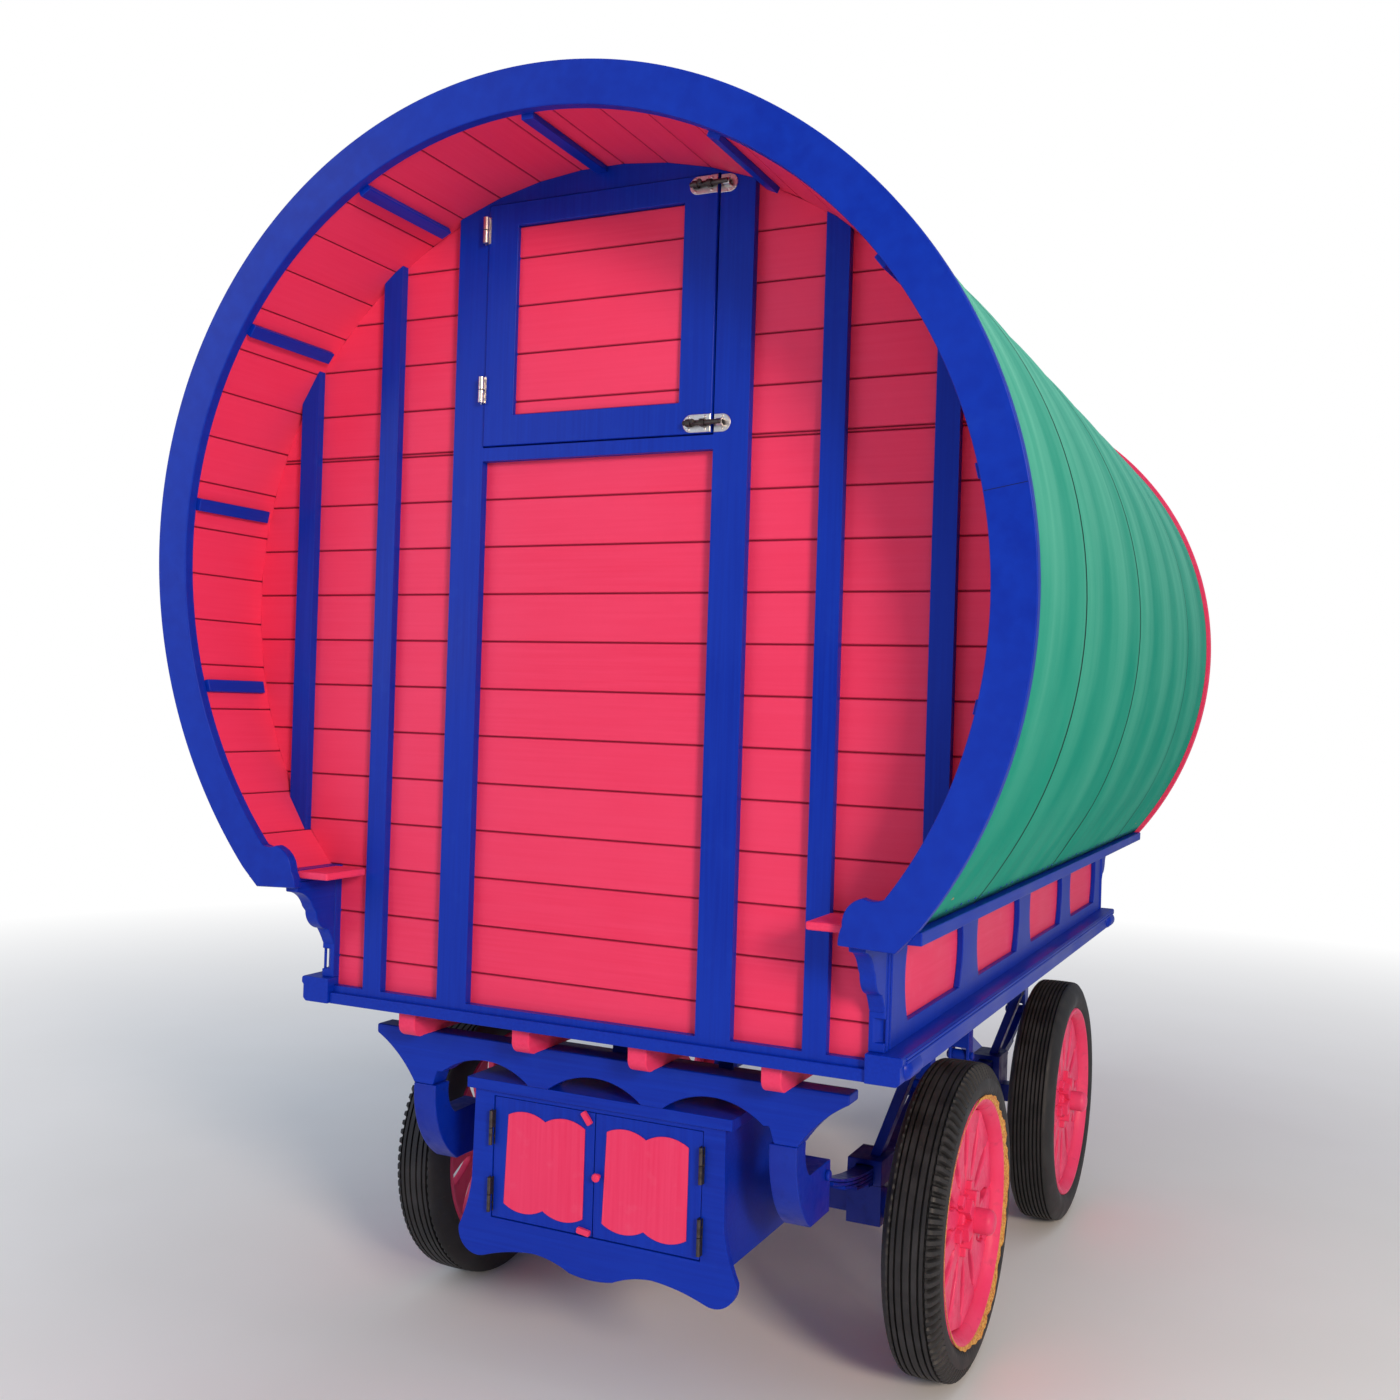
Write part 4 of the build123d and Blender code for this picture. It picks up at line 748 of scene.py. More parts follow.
def joined(parts: Sequence[Shell]) -> Shell:
    """Several closed shells as one.

    Args:
        parts: the shells, in order.
    Returns:
        All their points and faces.
    """
    points = [shell.points.reshape(-1, 3) for shell in parts]
    starts = np.cumsum([0] + [len(block) for block in points[:-1]])
    faces = [block + start for shell, start in zip(parts, starts) for block in shell.faces]
    return Shell(np.concatenate(points), faces)


def slab(x0: float, x1: float, y0: float, y1: float, z0: float, z1: float) -> Shell:
    """A box given by its six faces."""
    z = np.array([z0, z1])[None, :, None]
    return bars(np.array([x0, x1, x1, x0]), np.array([y0, y0, y1, y1]), z)


def turned(section: Array, origin: Point, axis: str, sides: int = 24) -> Shell:
    """A section turned about an axis and closed at both ends.

    Args:
        section: rows of a place along the axis and a radius.
        origin: a point of the axis, from which the places count.
        axis: x, y or z.
        sides: how many flats it has around.
    Returns:
        The shell.
    """
    angle = np.arange(sides) / sides * tau
    along, radius = section.T[:, None, :, None]
    u = radius * np.cos(angle)
    v = radius * np.sin(angle)
    order = {"x": (along, u, v), "y": (u, along, v), "z": (u, v, along)}[axis]
    return bars(*(values + start for values, start in zip(order, origin)))


def domes(places: Array, outward: Point, radius: float, sides: int = 10) -> Shell:
    """Low round heads of screws, tacks and bolts: rings that shrink from foot to top.

    Args:
        places: where each one stands, one to a row.
        outward: the way that they face.
        radius: of the ring at the foot.
        sides: how many flats each has around.
    Returns:
        The shell.
    """
    n = np.array(outward, float)
    u = np.cross(n, (0.0, 0.0, 1.0) if abs(n[2]) < 0.9 else (1.0, 0.0, 0.0))
    v = np.cross(n, u)
    angle = np.arange(sides) / sides * tau
    ring = np.cos(angle)[:, None] * u + np.sin(angle)[:, None] * v
    section = np.array([(-0.3, 1.0), (0.15, 1.0), (0.42, 0.72), (0.52, 0.3)]) * radius
    one = section[:, 0][:, None, None] * n + section[:, 1][:, None, None] * ring
    points = np.asarray(places, float)[:, None, None, :] + one
    return bars(*np.moveaxis(points, -1, 0))


def plate_between(outline: Array, y_low: Array | float, y_high: Array | float) -> Shell:
    """An upright plate.

    Args:
        outline: its X and Z, one point to a row.
        y_low: where one face stands along Y, for all points or for each.
        y_high: where the other face stands.
    Returns:
        The shell.
    """
    x, z = outline.T
    y = np.stack(np.broadcast_arrays(y_low, y_high, x)[:2])
    return bars(x, y[None], z)


def fixed_to(obj: Object, body: str, slot: str, *replaced: str) -> None:
    """Declare a piece to the frame and report it.

    Args:
        obj: the piece.
        body: the CAD body that it moves with.
        slot: not used.
        replaced: the CAD nodes that it stands for.
    """
    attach(obj, body)
    if replaced:
        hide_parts(*replaced)
    LOG.info("piece %s moves with %s", obj.name, body)


# Timber and iron taken from the CAD


class CadGroup(NamedTuple):
    """CAD nodes that are shown in one finish, each with the width of its rounded arrises in mm."""

    finish: Finish
    grain: tuple[Grain, ...]
    slot: str
    arrises: dict[str, float]


CAD_GROUPS = (
    CadGroup(BLUE_PAINT, (Grain.UP,), "blue_paint", {
        "side_frames": 2.5, "rear_wall_frame": 2.5, "front_wall_frame": 2.5, "shutter_frame": 2.5,
        "front_door_lower": 2.5, "front_door_upper": 2.5,
    }),
    CadGroup(BLUE_PAINT, (Grain.ALONG,), "blue_paint", {
        "sill_mouldings": 2.0, "ledges": 3.0, "porch_battens": 2.0, "drawbar": 4.0,
    }),
    CadGroup(BLUE_PAINT, (Grain.ACROSS,), "blue_paint", {"rear_bolster": 4.0, "pan_box": 3.0}),
    CadGroup(PINK_PAINT, (Grain.ALONG,), "pink_paint", {
        "side_panels": 1.0, "porch_shelves": 5.0, "floor_bearers": 3.0,
    }),
    CadGroup(BLUE_IRON, (), "blue_iron_paint", {
        "rear_irons": 3.0, "rear_axle": 3.0, "turntable_upper": 2.0, "fore_carriage": 3.0,
        "front_irons": 3.0, "front_axle": 3.0,
    }),
    CadGroup(BareTimber(), (Grain.ACROSS,), "bare_wood", {"roof_hoops": 2.0}),
    CadGroup(BareTimber(), (Grain.ALONG,), "bare_wood", {"floor": 1.0}),
)
# The bodies of the nodes that don't move with the cabin
CARRIERS = {
    "fore_carriage": "fore_carriage", "front_irons": "fore_carriage", "front_axle": "fore_carriage",
    "drawbar": "drawbar", "shutter_frame": "rear_shutter",
    "front_door_lower": "front_door_lower", "front_door_upper": "front_door_upper",
}


def cad_copy(frame: dict, node: str, material: Material) -> Object:
    """A copy of a CAD node's mesh with its loose triangles joined to whole faces.

    Args:
        frame: what the CAD frame holds.
        node: the CAD node.
        material: what covers the copy.
    Returns:
        The copy, in the same place.
    """
    work = bmesh.new()
    work.from_mesh(frame["nodes"][node].data)
    bmesh.ops.remove_doubles(work, verts=work.verts, dist=0.02 * MM)
    bmesh.ops.dissolve_limit(work, angle_limit=radians(0.5), verts=work.verts, edges=work.edges)
    bmesh.ops.recalc_face_normals(work, faces=work.faces)
    mesh = bpy.data.meshes.new(f"{node}.dressed")
    work.to_mesh(mesh)
    work.free()
    return shaded(mesh, material, radians(32))


@dataclass
class Joinery:
    """The timbers and irons that keep their CAD shape, with softened arrises."""

    frame: dict
    palette: Palette

    def build(self) -> None:
        """Dress each listed node."""
        for group in CAD_GROUPS:
            material = self.palette.get(group.finish, *group.grain)
            for node, arris_mm in group.arrises.items():
                obj = cad_copy(self.frame, node, material)
                soften(obj, arris_mm * MM)
                fixed_to(obj, CARRIERS.get(node, "body"), group.slot, node)


@dataclass
class Assembly:
    """What the sub-assemblies read: the shared sizes and the materials."""

    cabin: Cabin
    palette: Palette


# Boards


BOARD_CREASE = radians(20)
Edge = Callable[[Array], Array]


class BoardRun(NamedTuple):
    """Part of a boarded face, between two heights and two sides given as functions of the height."""

    z0: float
    z1: float
    left: Edge
    right: Edge


@dataclass
class Boarding:
    """Horizontal grooved boards that fill an outline.

    Args:
        joint_z: the height of one joint.
        groove: the depth of a joint's V, and half its width.
        end_gap: the least height of a board cut at an end of its run.
        levels: how many points a board's face has between its joints.
    """

    name: str
    y_face: float
    y_back: float
    joint_z: float = 2.139
    pitch: float = 0.113
    groove: float = 0.0035
    end_gap: float = 0.004
    levels: int = 7

    def edges(self, run: BoardRun) -> Array:
        """The low and high edge of each board: the run's ends, and the joints between them at the pitch.

        Args:
            run: the part of the face.
        Returns:
            Two heights to a row.
        """
        first = np.ceil((run.z0 + self.end_gap - self.joint_z) / self.pitch)
        last = np.floor((run.z1 - self.end_gap - self.joint_z) / self.pitch)
        inner = self.joint_z + self.pitch * np.arange(first, last + 1)
        whole = np.concatenate([[run.z0], inner, [run.z1]])
        return np.stack([whole[:-1], whole[1:]], axis=-1)

    def points(self, run: BoardRun) -> tuple[Array, Array]:
        """Rings in Y and Z carried from the left edge to the right edge of each board.

        Args:
            run: the part of the face.
        Returns:
            Points (boards, 2, ring, 3), and the share of joint shade of each.
        """
        low, high = np.split(self.edges(run), 2, axis=1)
        share = np.linspace(0, 1, self.levels)[None]
        flat = low + self.groove + share * (high - low - 2 * self.groove)
        face_z = np.concatenate([low, flat, high], axis=1)
        inset = np.zeros(self.levels + 2)
        inset[[0, -1]] = self.groove
        way = np.sign(self.y_face - self.y_back)
        face_y = np.broadcast_to(self.y_face - way * inset, face_z.shape)
        back_y = np.broadcast_to(self.y_back + way * inset, face_z.shape)
        z = np.concatenate([face_z, face_z[:, ::-1]], axis=1)
        y = np.concatenate([face_y, back_y[:, ::-1]], axis=1)
        # Painted shade: one at the bottom of a groove and nought on a board's face
        shade = np.broadcast_to(np.concatenate([inset, inset]) / self.groove, z.shape)
        left = np.stack([run.left(z), y, z], axis=-1)
        right = np.stack([run.right(z), y, z], axis=-1)
        return np.stack([left, right], axis=1), np.stack([shade, shade], axis=1)

    def build(self, runs: Sequence[BoardRun], material: Material) -> Object:
        """All runs as one mesh, each board with its own tone.

        Args:
            runs: the parts of the face.
            material: what covers the boards.
        Returns:
            The object.
        """
        parts = [self.points(run) for run in runs]
        points = np.concatenate([p for p, _ in parts])
        shade = np.concatenate([s for _, s in parts])
        tones = np.random.default_rng(len(points)).random(len(points))
        obj = mesh_object(self.name, bars(*np.moveaxis(points, -1, 0)), material, crease=BOARD_CREASE)
        store(obj, "joint", shade)
        store(obj, "tone", np.broadcast_to(tones[:, None, None], shade.shape))
        return obj


def constant(value: float) -> Edge:
    """An edge that stands upright."""
    return lambda z: np.full_like(z, value)


def mirrored(edge: Edge) -> Edge:
    """The same edge on the other side of the middle."""
    return lambda z: -edge(z)


@dataclass
class EndWall(Assembly):
    """The boards of one end wall, with the hole of its leaf."""

    name: str
    end: int
    hole_z: float
    top_clear: float = 0.0006

    def runs(self) -> list[BoardRun]:
        """Full-width boards under and over the hole, and short ones at its sides.

        Returns:
            The parts of the wall, from its foot to the barrel's top.
        """
        cabin = self.cabin
        top = cabin.barrel_z + cabin.lining_r - self.top_clear
        low = constant(cabin.lining_x)
        stops = sorted({cabin.wall_foot, cabin.ledge_top, self.hole_z, cabin.header_z, top})
        out = []
        for z0, z1 in zip(stops, stops[1:]):
            half = low if z1 <= cabin.ledge_top else cabin.half_width
            if self.hole_z <= z0 < cabin.header_z:
                out.append(BoardRun(z0, z1, mirrored(half), constant(-cabin.stile_x)))
                out.append(BoardRun(z0, z1, constant(cabin.stile_x), half))
            else:
                out.append(BoardRun(z0, z1, mirrored(half), half))
        return out

    def build(self) -> None:
        """Make the boards and set them in the wall."""
        cabin = self.cabin
        face = cabin.mid_y + self.end * (cabin.half_y - cabin.recess)
        boarding = Boarding(f"{self.name}.boards", face, face - self.end * cabin.board_t)
        obj = boarding.build(self.runs(), self.palette.get(PINK_BOARDS, Grain.ACROSS))
        fixed_to(obj, "body", "pink_paint", self.name)


class LeafPanel(NamedTuple):
    """The boarded panel of a leaf in an end wall."""

    name: str
    body: str
    end: int
    z0: float
    z1: float
    face_in: float
    back_in: float


@dataclass
class LeafPanels(Assembly):
    """The boarded panels of the rear shutter and of the two front half doors.

    Args:
        shutter_faces: how far the boards' outer and inner faces are from the shutter's outer face.
        door_faces: the same for the doors.
        shutter_rails: the height of the shutter's low and high rails.
    """

    shutter_faces: Spot = (0.012, 0.028)
    door_faces: Spot = (0.010, 0.0335)
    shutter_stile: float = 0.082
    shutter_rails: Spot = (0.071, 0.054)
    door_stile: float = 0.084
    door_rail: float = 0.092

    def table(self) -> list[LeafPanel]:
        """The three panels, from the leaf sizes.

        Returns:
            Their names, places and thickness.
        """
        cabin = self.cabin
        low, high = self.shutter_rails
        top = cabin.header_z - cabin.leaf_gap
        inset = cabin.leaf_gap + self.door_rail
        shutter = (cabin.window_z + cabin.leaf_gap + low, top - high, *self.shutter_faces)
        lower = (cabin.door_z + inset, cabin.split_z - inset, *self.door_faces)
        upper = (cabin.split_z + inset, top - self.door_rail, *self.door_faces)
        return [
            LeafPanel("shutter_panel", "rear_shutter", -1, *shutter),
            LeafPanel("front_door_lower", "front_door_lower", 1, *lower),
            LeafPanel("front_door_upper", "front_door_upper", 1, *upper),
        ]

    def build(self) -> None:
        """Fill each leaf."""
        cabin = self.cabin
        material = self.palette.get(PINK_BOARDS, Grain.ACROSS)
        for leaf in self.table():
            outer = cabin.mid_y + leaf.end * (cabin.half_y + cabin.leaf_proud)
            stile = self.shutter_stile if leaf.end < 0 else self.door_stile
            half = cabin.stile_x - cabin.leaf_gap - stile
            run = BoardRun(leaf.z0, leaf.z1, constant(-half), constant(half))
            faces = (outer - leaf.end * leaf.face_in, outer - leaf.end * leaf.back_in)
            obj = Boarding(f"{leaf.name}.boards", *faces).build([run], material)
            # A door's own CAD node is shown by its frame
            stands_for = [leaf.name] if leaf.end < 0 else []
            fixed_to(obj, leaf.body, "pink_paint", *stands_for)


@dataclass
class BarrelLining(Assembly):
    """The lengthwise boards inside the barrel, one to each flat, cut to the rake at both ends."""

    groove: float = 0.003
    stations: int = 3

    def build(self) -> None:
        """Rings in the plane of X and Z carried along Y.

        A board's corner at the tangent offset t and the distance n from the barrel's axis lies at
        x = t cos a + n sin a and z = axis + n cos a - t sin a, with a the middle angle of its flat.
        """
        cabin = self.cabin
        half = cabin.board_angle / 2
        inner = cabin.lining_r
        outer = inner + cabin.lining_t
        deep = inner + self.groove
        n = np.array([outer, outer, deep, inner, inner, deep])
        t = np.array([-outer, outer, deep, inner, -inner, -deep]) * tan(half)
        t = t + np.array([0, 0, 0, -self.groove, self.groove, 0])
        angle = ((np.arange(cabin.flats) + 0.5) * cabin.board_angle - cabin.eaves)[:, None]
        x = t * np.cos(angle) + n * np.sin(angle)
        z = np.maximum(cabin.barrel_z + n * np.cos(angle) - t * np.sin(angle), cabin.ledge_top)
        reach = cabin.arch_face(z) - cabin.arch_t
        along = np.linspace(-1, 1, self.stations)[:, None]
        y = cabin.mid_y + along * reach[:, None]
        boards = bars(x[:, None], y, z[:, None])
        material = self.palette.get(PINK_BOARDS, Grain.ALONG)
        obj = mesh_object("roof_lining.boards", boards, material, crease=BOARD_CREASE)
        # Painted shade: one at the bottom of each groove between the lining boards
        shade = np.broadcast_to(np.array([0, 0, 1, 0, 0, 1.0]), y.shape)
        tones = np.random.default_rng(5).random(cabin.flats)
        store(obj, "joint", shade)
        store(obj, "tone", np.broadcast_to(tones[:, None, None], y.shape))
        fixed_to(obj, "body", "pink_paint", "roof_lining")


# Arches and cover


@dataclass
class PorchArch(Assembly):
    """A raked arch with a shaped foot at each side.

    Args:
        lap: how far the arch covers the lining's inner edge.
        foot_diagonal: the width of the cut under the foot's outer end.
        toe, toe_bend, instep: places along the foot, from the ring's inner end and the foot's low edge.
        instep_bend, brow, brow_bend: places along the foot, from the ring's inner end.
        scarfs: the angles from the top at which a joint shows.
    """

    name: str
    end: int
    lap: float = 0.004
    width: float = 0.088
    foot_rise: float = 0.061
    foot_drop: float = 0.016
    foot_diagonal: float = 0.042
    toe: Spot = (-0.096, 0.005)
    toe_bend: Spot = (-0.094, 0.026)
    instep: Spot = (-0.087, 0.045)
    instep_bend: Spot = (-0.074, -0.020)
    brow: Spot = (-0.043, -0.001)
    brow_bend: Spot = (-0.016, -0.005)
    arc_points: int = 150
    edge_pink: bool = False
    scarfs: tuple[float, ...] = ()
    scarf_w: float = 0.0012
    scarf_in: float = 0.003
    back_share: float = 0.9
    arris: float = 0.003

    def outline(self) -> Array:
        """The outline in X and Z: two arcs of the ring, and three small arcs for each foot.

        Where a ring of radius r meets the height z, x is the root of r^2 - (axis - z)^2.

        Returns:
            One point to a row, once around.
        """
        cabin = self.cabin
        axis = cabin.barrel_z
        r_in = cabin.lining_r - self.lap
        r_out = r_in + self.width
        top = cabin.ledge_top + self.foot_rise
        low = cabin.ledge_low - self.foot_drop
        x_out = sqrt(r_out**2 - (axis - cabin.ledge_top) ** 2)
        x_in = sqrt(r_in**2 - (axis - top) ** 2)
        over = three_point_arc((0, axis + r_out), (r_out, axis), (x_out, cabin.ledge_top), self.arc_points)
        under = three_point_arc((x_in, top), (r_in, axis), (0, axis + r_in), self.arc_points)
        toe, toe_bend, instep = ((x_in + x, low + z) for x, z in (self.toe, self.toe_bend, self.instep))
        high = (self.instep_bend, self.brow, self.brow_bend)
        instep_bend, brow, brow_bend = ((x_in + x, top + z) for x, z in high)
        foot = [
            np.array([[x_out - self.foot_diagonal, low]]),
            three_point_arc(toe, toe_bend, instep, 8)[:-1],
            three_point_arc(instep, instep_bend, brow, 12)[:-1],
            three_point_arc(brow, brow_bend, (x_in, top), 8)[:-1],
        ]
        right = np.concatenate([over, *foot, under[:-1]])
        left = right[::-1] * np.array([-1, 1])
        return np.concatenate([right, left[:-1]])

    def build(self) -> None:
        """The outline set between two raked planes."""
        cabin = self.cabin
        outline = self.outline()
        outer = cabin.mid_y + self.end * cabin.arch_face(outline[:, 1])
        plate = plate_between(outline, outer - self.end * cabin.arch_t, outer)
        obj = mesh_object(f"{self.name}.shaped", plate, self.palette.get(BLUE_PAINT, Grain.NONE))
        if self.edge_pink:
            obj.data.materials.append(self.palette.get(PINK_PAINT, Grain.NONE))
            centres = np.zeros(3 * len(obj.data.polygons))
            obj.data.polygons.foreach_get("center", centres)
            x, y, z = centres.reshape(-1, 3).T
            edge = cabin.lining_r - self.lap + self.width - 2 * MM
            far = np.hypot(x, z - cabin.barrel_z) > edge
            back = self.end * (y - cabin.mid_y) < cabin.arch_face(z) - self.back_share * cabin.arch_t
            obj.data.polygons.foreach_set("material_index", (far | back).astype(np.int32))
        soften(obj, self.arris, segments=3, angle=radians(50))
        fixed_to(obj, "body", "blue_paint", self.name)
        if self.scarfs:
            self.scarf_lines()

    def scarf_lines(self) -> None:
        """A dark line over the ring's face at each joint of its segments, a hair proud of the paint."""
        cabin = self.cabin
        turn = np.array(self.scarfs)[:, None, None]
        r_in = cabin.lining_r - self.lap
        r = np.array([r_in + self.scarf_in, r_in + self.width - self.scarf_in])[None, :, None]
        across = np.array([-0.5, 0.5, 0.5, -0.5]) * self.scarf_w
        proud = np.array([-0.5, -0.5, 0.3, 0.3]) * MM
        x = r * np.sin(turn) + across * np.cos(turn)
        z = cabin.barrel_z + r * np.cos(turn) - across * np.sin(turn)
        y = cabin.mid_y + self.end * (cabin.arch_face(z) + proud)
        lines = mesh_object(f"{self.name}.scarfs", bars(x, y, z), self.palette.get(DARK_STAIN))
        fixed_to(lines, "body", "blue_paint")


@dataclass
class CanvasCover(Assembly):
    """Canvas stretched over the hoops from ledge to ledge, between the two arches.

    Args:
        held: how far from an arch the sag ends.
        pucker: half the depth of a ripple between two tacks.
        pucker_high: how far up from the ledge the ripples reach.
        ease_high: how far up from the ledge the sag and the ripples grow from nought.
    """

    hoop_y: float = 1.270
    bays: int = 3
    sag: float = 0.0050
    held: float = 0.090
    pucker: float = 0.0035
    pucker_pitch: float = 0.120
    pucker_high: float = 0.22
    ease_high: float = 0.12
    thickness: float = 0.0012
    # The painted light on the cover: a base share, more towards the top and a band in each bay
    painted_light_low: float = 0.20
    painted_light_top: float = 0.60
    painted_light_bay: float = 0.16
    seam_y: tuple[float, ...] = (-0.96, -0.15, 0.94)
    around: int = 130
    along: int = 370

    def build(self) -> None:
        """A grid over angle and length.

        The radius is the cover's own less a sag of sin squared that is nought on the hoops and at the
        arches, and near the ledge it ripples with the tacks. Each row's length follows the arches' rake.
        It gets painted light, paler along the top by a cosine of the angle, and in bands by a cosine of the
        place in the bay.
        """
        cabin = self.cabin
        radius = cabin.cover_r + cabin.cover_clear
        eaves = acos((cabin.ledge_top - cabin.barrel_z) / radius)
        angle = np.linspace(-eaves, eaves, self.around)[:, None]
        share = np.linspace(-1, 1, self.along)[None]
        z = cabin.barrel_z + radius * np.cos(angle)
        reach = cabin.arch_face(z) - cabin.arch_t
        y = share * reach
        up = (eaves - np.abs(angle)) * radius
        low_down = np.clip(1 - up / self.pucker_high, 0, 1)
        bay = self.hoop_y / self.bays
        at_arch = np.clip((reach - np.abs(y)) / self.held, 0, 1)
        dip = self.sag * np.sin(pi * y / bay) ** 2 * at_arch
        ease = np.clip(up / self.ease_high, 0, 1)
        ripple = self.pucker * low_down * ease * np.cos(tau * y / self.pucker_pitch)
        r = radius - dip * ease - self.pucker * low_down * ease + ripple
        points = np.stack([r * np.sin(angle), cabin.mid_y + y, cabin.barrel_z + r * np.cos(angle)], axis=-1)
        points[..., 2] = np.maximum(points[..., 2], cabin.ledge_top)
        material = self.palette.get(CanvasCloth(self.seam_y))
        quads = quads_between(self.around, self.along)[:, ::-1]
        obj = mesh_object("canvas_cover", Shell(points, [quads]), material, closed=False)
        store(obj, "along", y)
        # Painted light: paler towards the top and in bands between the hoops
        painted_light = self.painted_light_low + self.painted_light_top * np.cos(angle) + self.painted_light_bay * np.cos(tau * y / bay + 0.6)
        store(obj, "painted_light", np.clip(painted_light, 0, 1))
        solid = obj.modifiers.new("thickness", "SOLIDIFY")
        solid.thickness = self.thickness
        solid.offset = -1
        fixed_to(obj, "body", "canvas", "cover")


# Wheels


def turned_ring(x: Array, r: Array, steps: int, closed: bool = True) -> Shell:
    """A section turned about X, with y = r sin a and z = r cos a.

    Args:
        x: the section's places along X, for all angles or for each.
        r: its radii in the same way.
        steps: how many angles there are.
        closed: the section is a loop; otherwise each of its ends is one flat face.
    Returns:
        The shell.
    """
    angle = (np.arange(steps) / steps * tau)[:, None]
    points = np.stack(np.broadcast_arrays(x, r * np.sin(angle), r * np.cos(angle)), axis=-1)
    ring = points.shape[1]
    faces = [quads_between(steps, ring, close_rows=True, close_cols=closed)]
    if not closed:
        faces.append(np.arange(steps) * ring + np.array([[0], [ring - 1]]))
    return Shell(points, faces)


class WheelPlace(NamedTuple):
    """Which wheel it is, the side that it faces, its place along Y and what is on it."""

    name: str
    side: int
    y: float
    tyre: "RoadTyre"
    yellow_edge: bool


# Half of a tyre's wall from shoulder to bead: how far out, and how far under the crown
TYRE_WALL = (
    (0.0490, 0.0020), (0.0540, 0.0045), (0.0600, 0.0120), (0.0665, 0.0260), (0.0712, 0.0390),
    (0.0730, 0.0520), (0.0715, 0.0660), (0.0665, 0.0790), (0.0600, 0.0865), (0.0500, 0.0890),
)
# A rim's closed section: the place along the axle and the radius
RIM_SECTION = (
    (0.054, 0.2985), (0.0615, 0.3020), (0.0660, 0.2990), (0.0668, 0.2930), (0.0640, 0.2880),
    (0.0590, 0.2850), (0.0540, 0.2800), (0.0440, 0.2745), (0.0300, 0.2715), (0.0000, 0.2700),
    (-0.0300, 0.2715), (-0.0480, 0.2760), (-0.0580, 0.2850), (-0.0640, 0.2900), (-0.0660, 0.2980),
    (-0.0610, 0.3020), (-0.0540, 0.2985), (-0.0400, 0.2870), (0.0000, 0.2840), (0.0400, 0.2870),
)
# A shackle bolt's head: how far past the cheek, and the radius
BOLT_HEAD = ((0.000, 0.006), (0.000, 0.013), (0.005, 0.013), (0.008, 0.009))


@dataclass
class RoadTyre:
    """A rubber tyre with grooves round its tread and cuts across its ribs and, on some, its shoulder.

    Args:
        groove_x: how far the middle of each groove is from the tyre's middle.
        lugs: the shoulder is cut into blocks on the side that faces outwards.
        crown: by how much the radius falls with the square of the distance from the middle.
        sipe_deep: the depth of the cuts in the outermost ribs' edges.
    """

    groove_x: tuple[float, ...]
    lugs: bool
    wall: tuple[Spot, ...] = TYRE_WALL
    radius: float = 0.387
    crown: float = 0.6
    groove_half: float = 0.0028
    groove_deep: float = 0.007
    shoulder_x: float = 0.0490
    lug_end_x: float = 0.0700
    notches: int = 100
    per_notch: int = 5
    notch_deep: float = 0.0075
    sipe_deep: float = 0.0035

    def half_section(self) -> tuple[Array, Array]:
        """The right half of the section: a crown r = R - k x^2 with grooves, then the wall to the bead.

        Returns:
            The places along X and the radii.
        """
        across = np.array([-1.0, -0.7, 0.7, 1.0]) * self.groove_half
        places = np.array(self.groove_x)[:, None]
        x = (places + across).ravel()
        dip = np.tile([0.0, self.groove_deep, self.groove_deep, 0.0], len(self.groove_x))
        r = self.radius - self.crown * x**2 - dip
        wall_x, wall_down = np.array(self.wall).T
        return np.concatenate([[0.0], x, wall_x]), np.concatenate([[self.radius], r, self.radius - wall_down])

    def shape(self, side: int) -> tuple[Shell, Array]:
        """The section turned about X, cut back at some steps of every notch.

        Args:
            side: -1 for a tyre that faces left, 1 for one that faces right.
        Returns:
            The tyre, and how deep in a groove or a cut each point is, from 0 to 1.
        """
        x, r = self.half_section()
        x = np.concatenate([-x[:0:-1], x])
        r = np.concatenate([r[:0:-1], r])
        steps = self.notches * self.per_notch
        cut = (np.arange(steps) % self.per_notch < 2)[:, None]
        out = x * side
        shoulder = (out >= self.shoulder_x) & (out < self.lug_end_x) & self.lugs
        rib_edge = self.groove_x[-1] + self.groove_half
        rib = np.isclose(np.abs(x), rib_edge) & self.lugs
        depth = self.notch_deep * (cut & shoulder) + self.sipe_deep * (cut & rib)
        crown = self.radius - self.crown * x**2
        groove = np.clip((crown - r) / self.groove_deep, 0, 1) * (np.abs(x) < self.shoulder_x)
        deep = np.maximum(np.broadcast_to(groove, depth.shape), depth / self.notch_deep)
        sunk = x - side * self.notch_deep * 0.8 * (cut & shoulder & (out > self.shoulder_x))
        return turned_ring(sunk, r - depth, steps), deep

    def build(self, place: WheelPlace, centre: Array, palette: Palette) -> None:
        """The tyre in its place, closed between its beads.

        Args:
            place: the wheel that carries it.
            centre: the middle of the wheel.
            palette: where its rubber comes from.
        """
        shell, deep = self.shape(place.side)
        moved = Shell(shell.points + centre, shell.faces)
        name = f"tyre_{place.name}"
        obj = mesh_object(f"{name}.treaded", moved, palette.get(TyreRubber()), crease=radians(30))
        # The depth drives the painted shade in the grooves and cuts
        store(obj, "deep", deep)
        fixed_to(obj, f"wheel_{place.name}", "tyre", name)


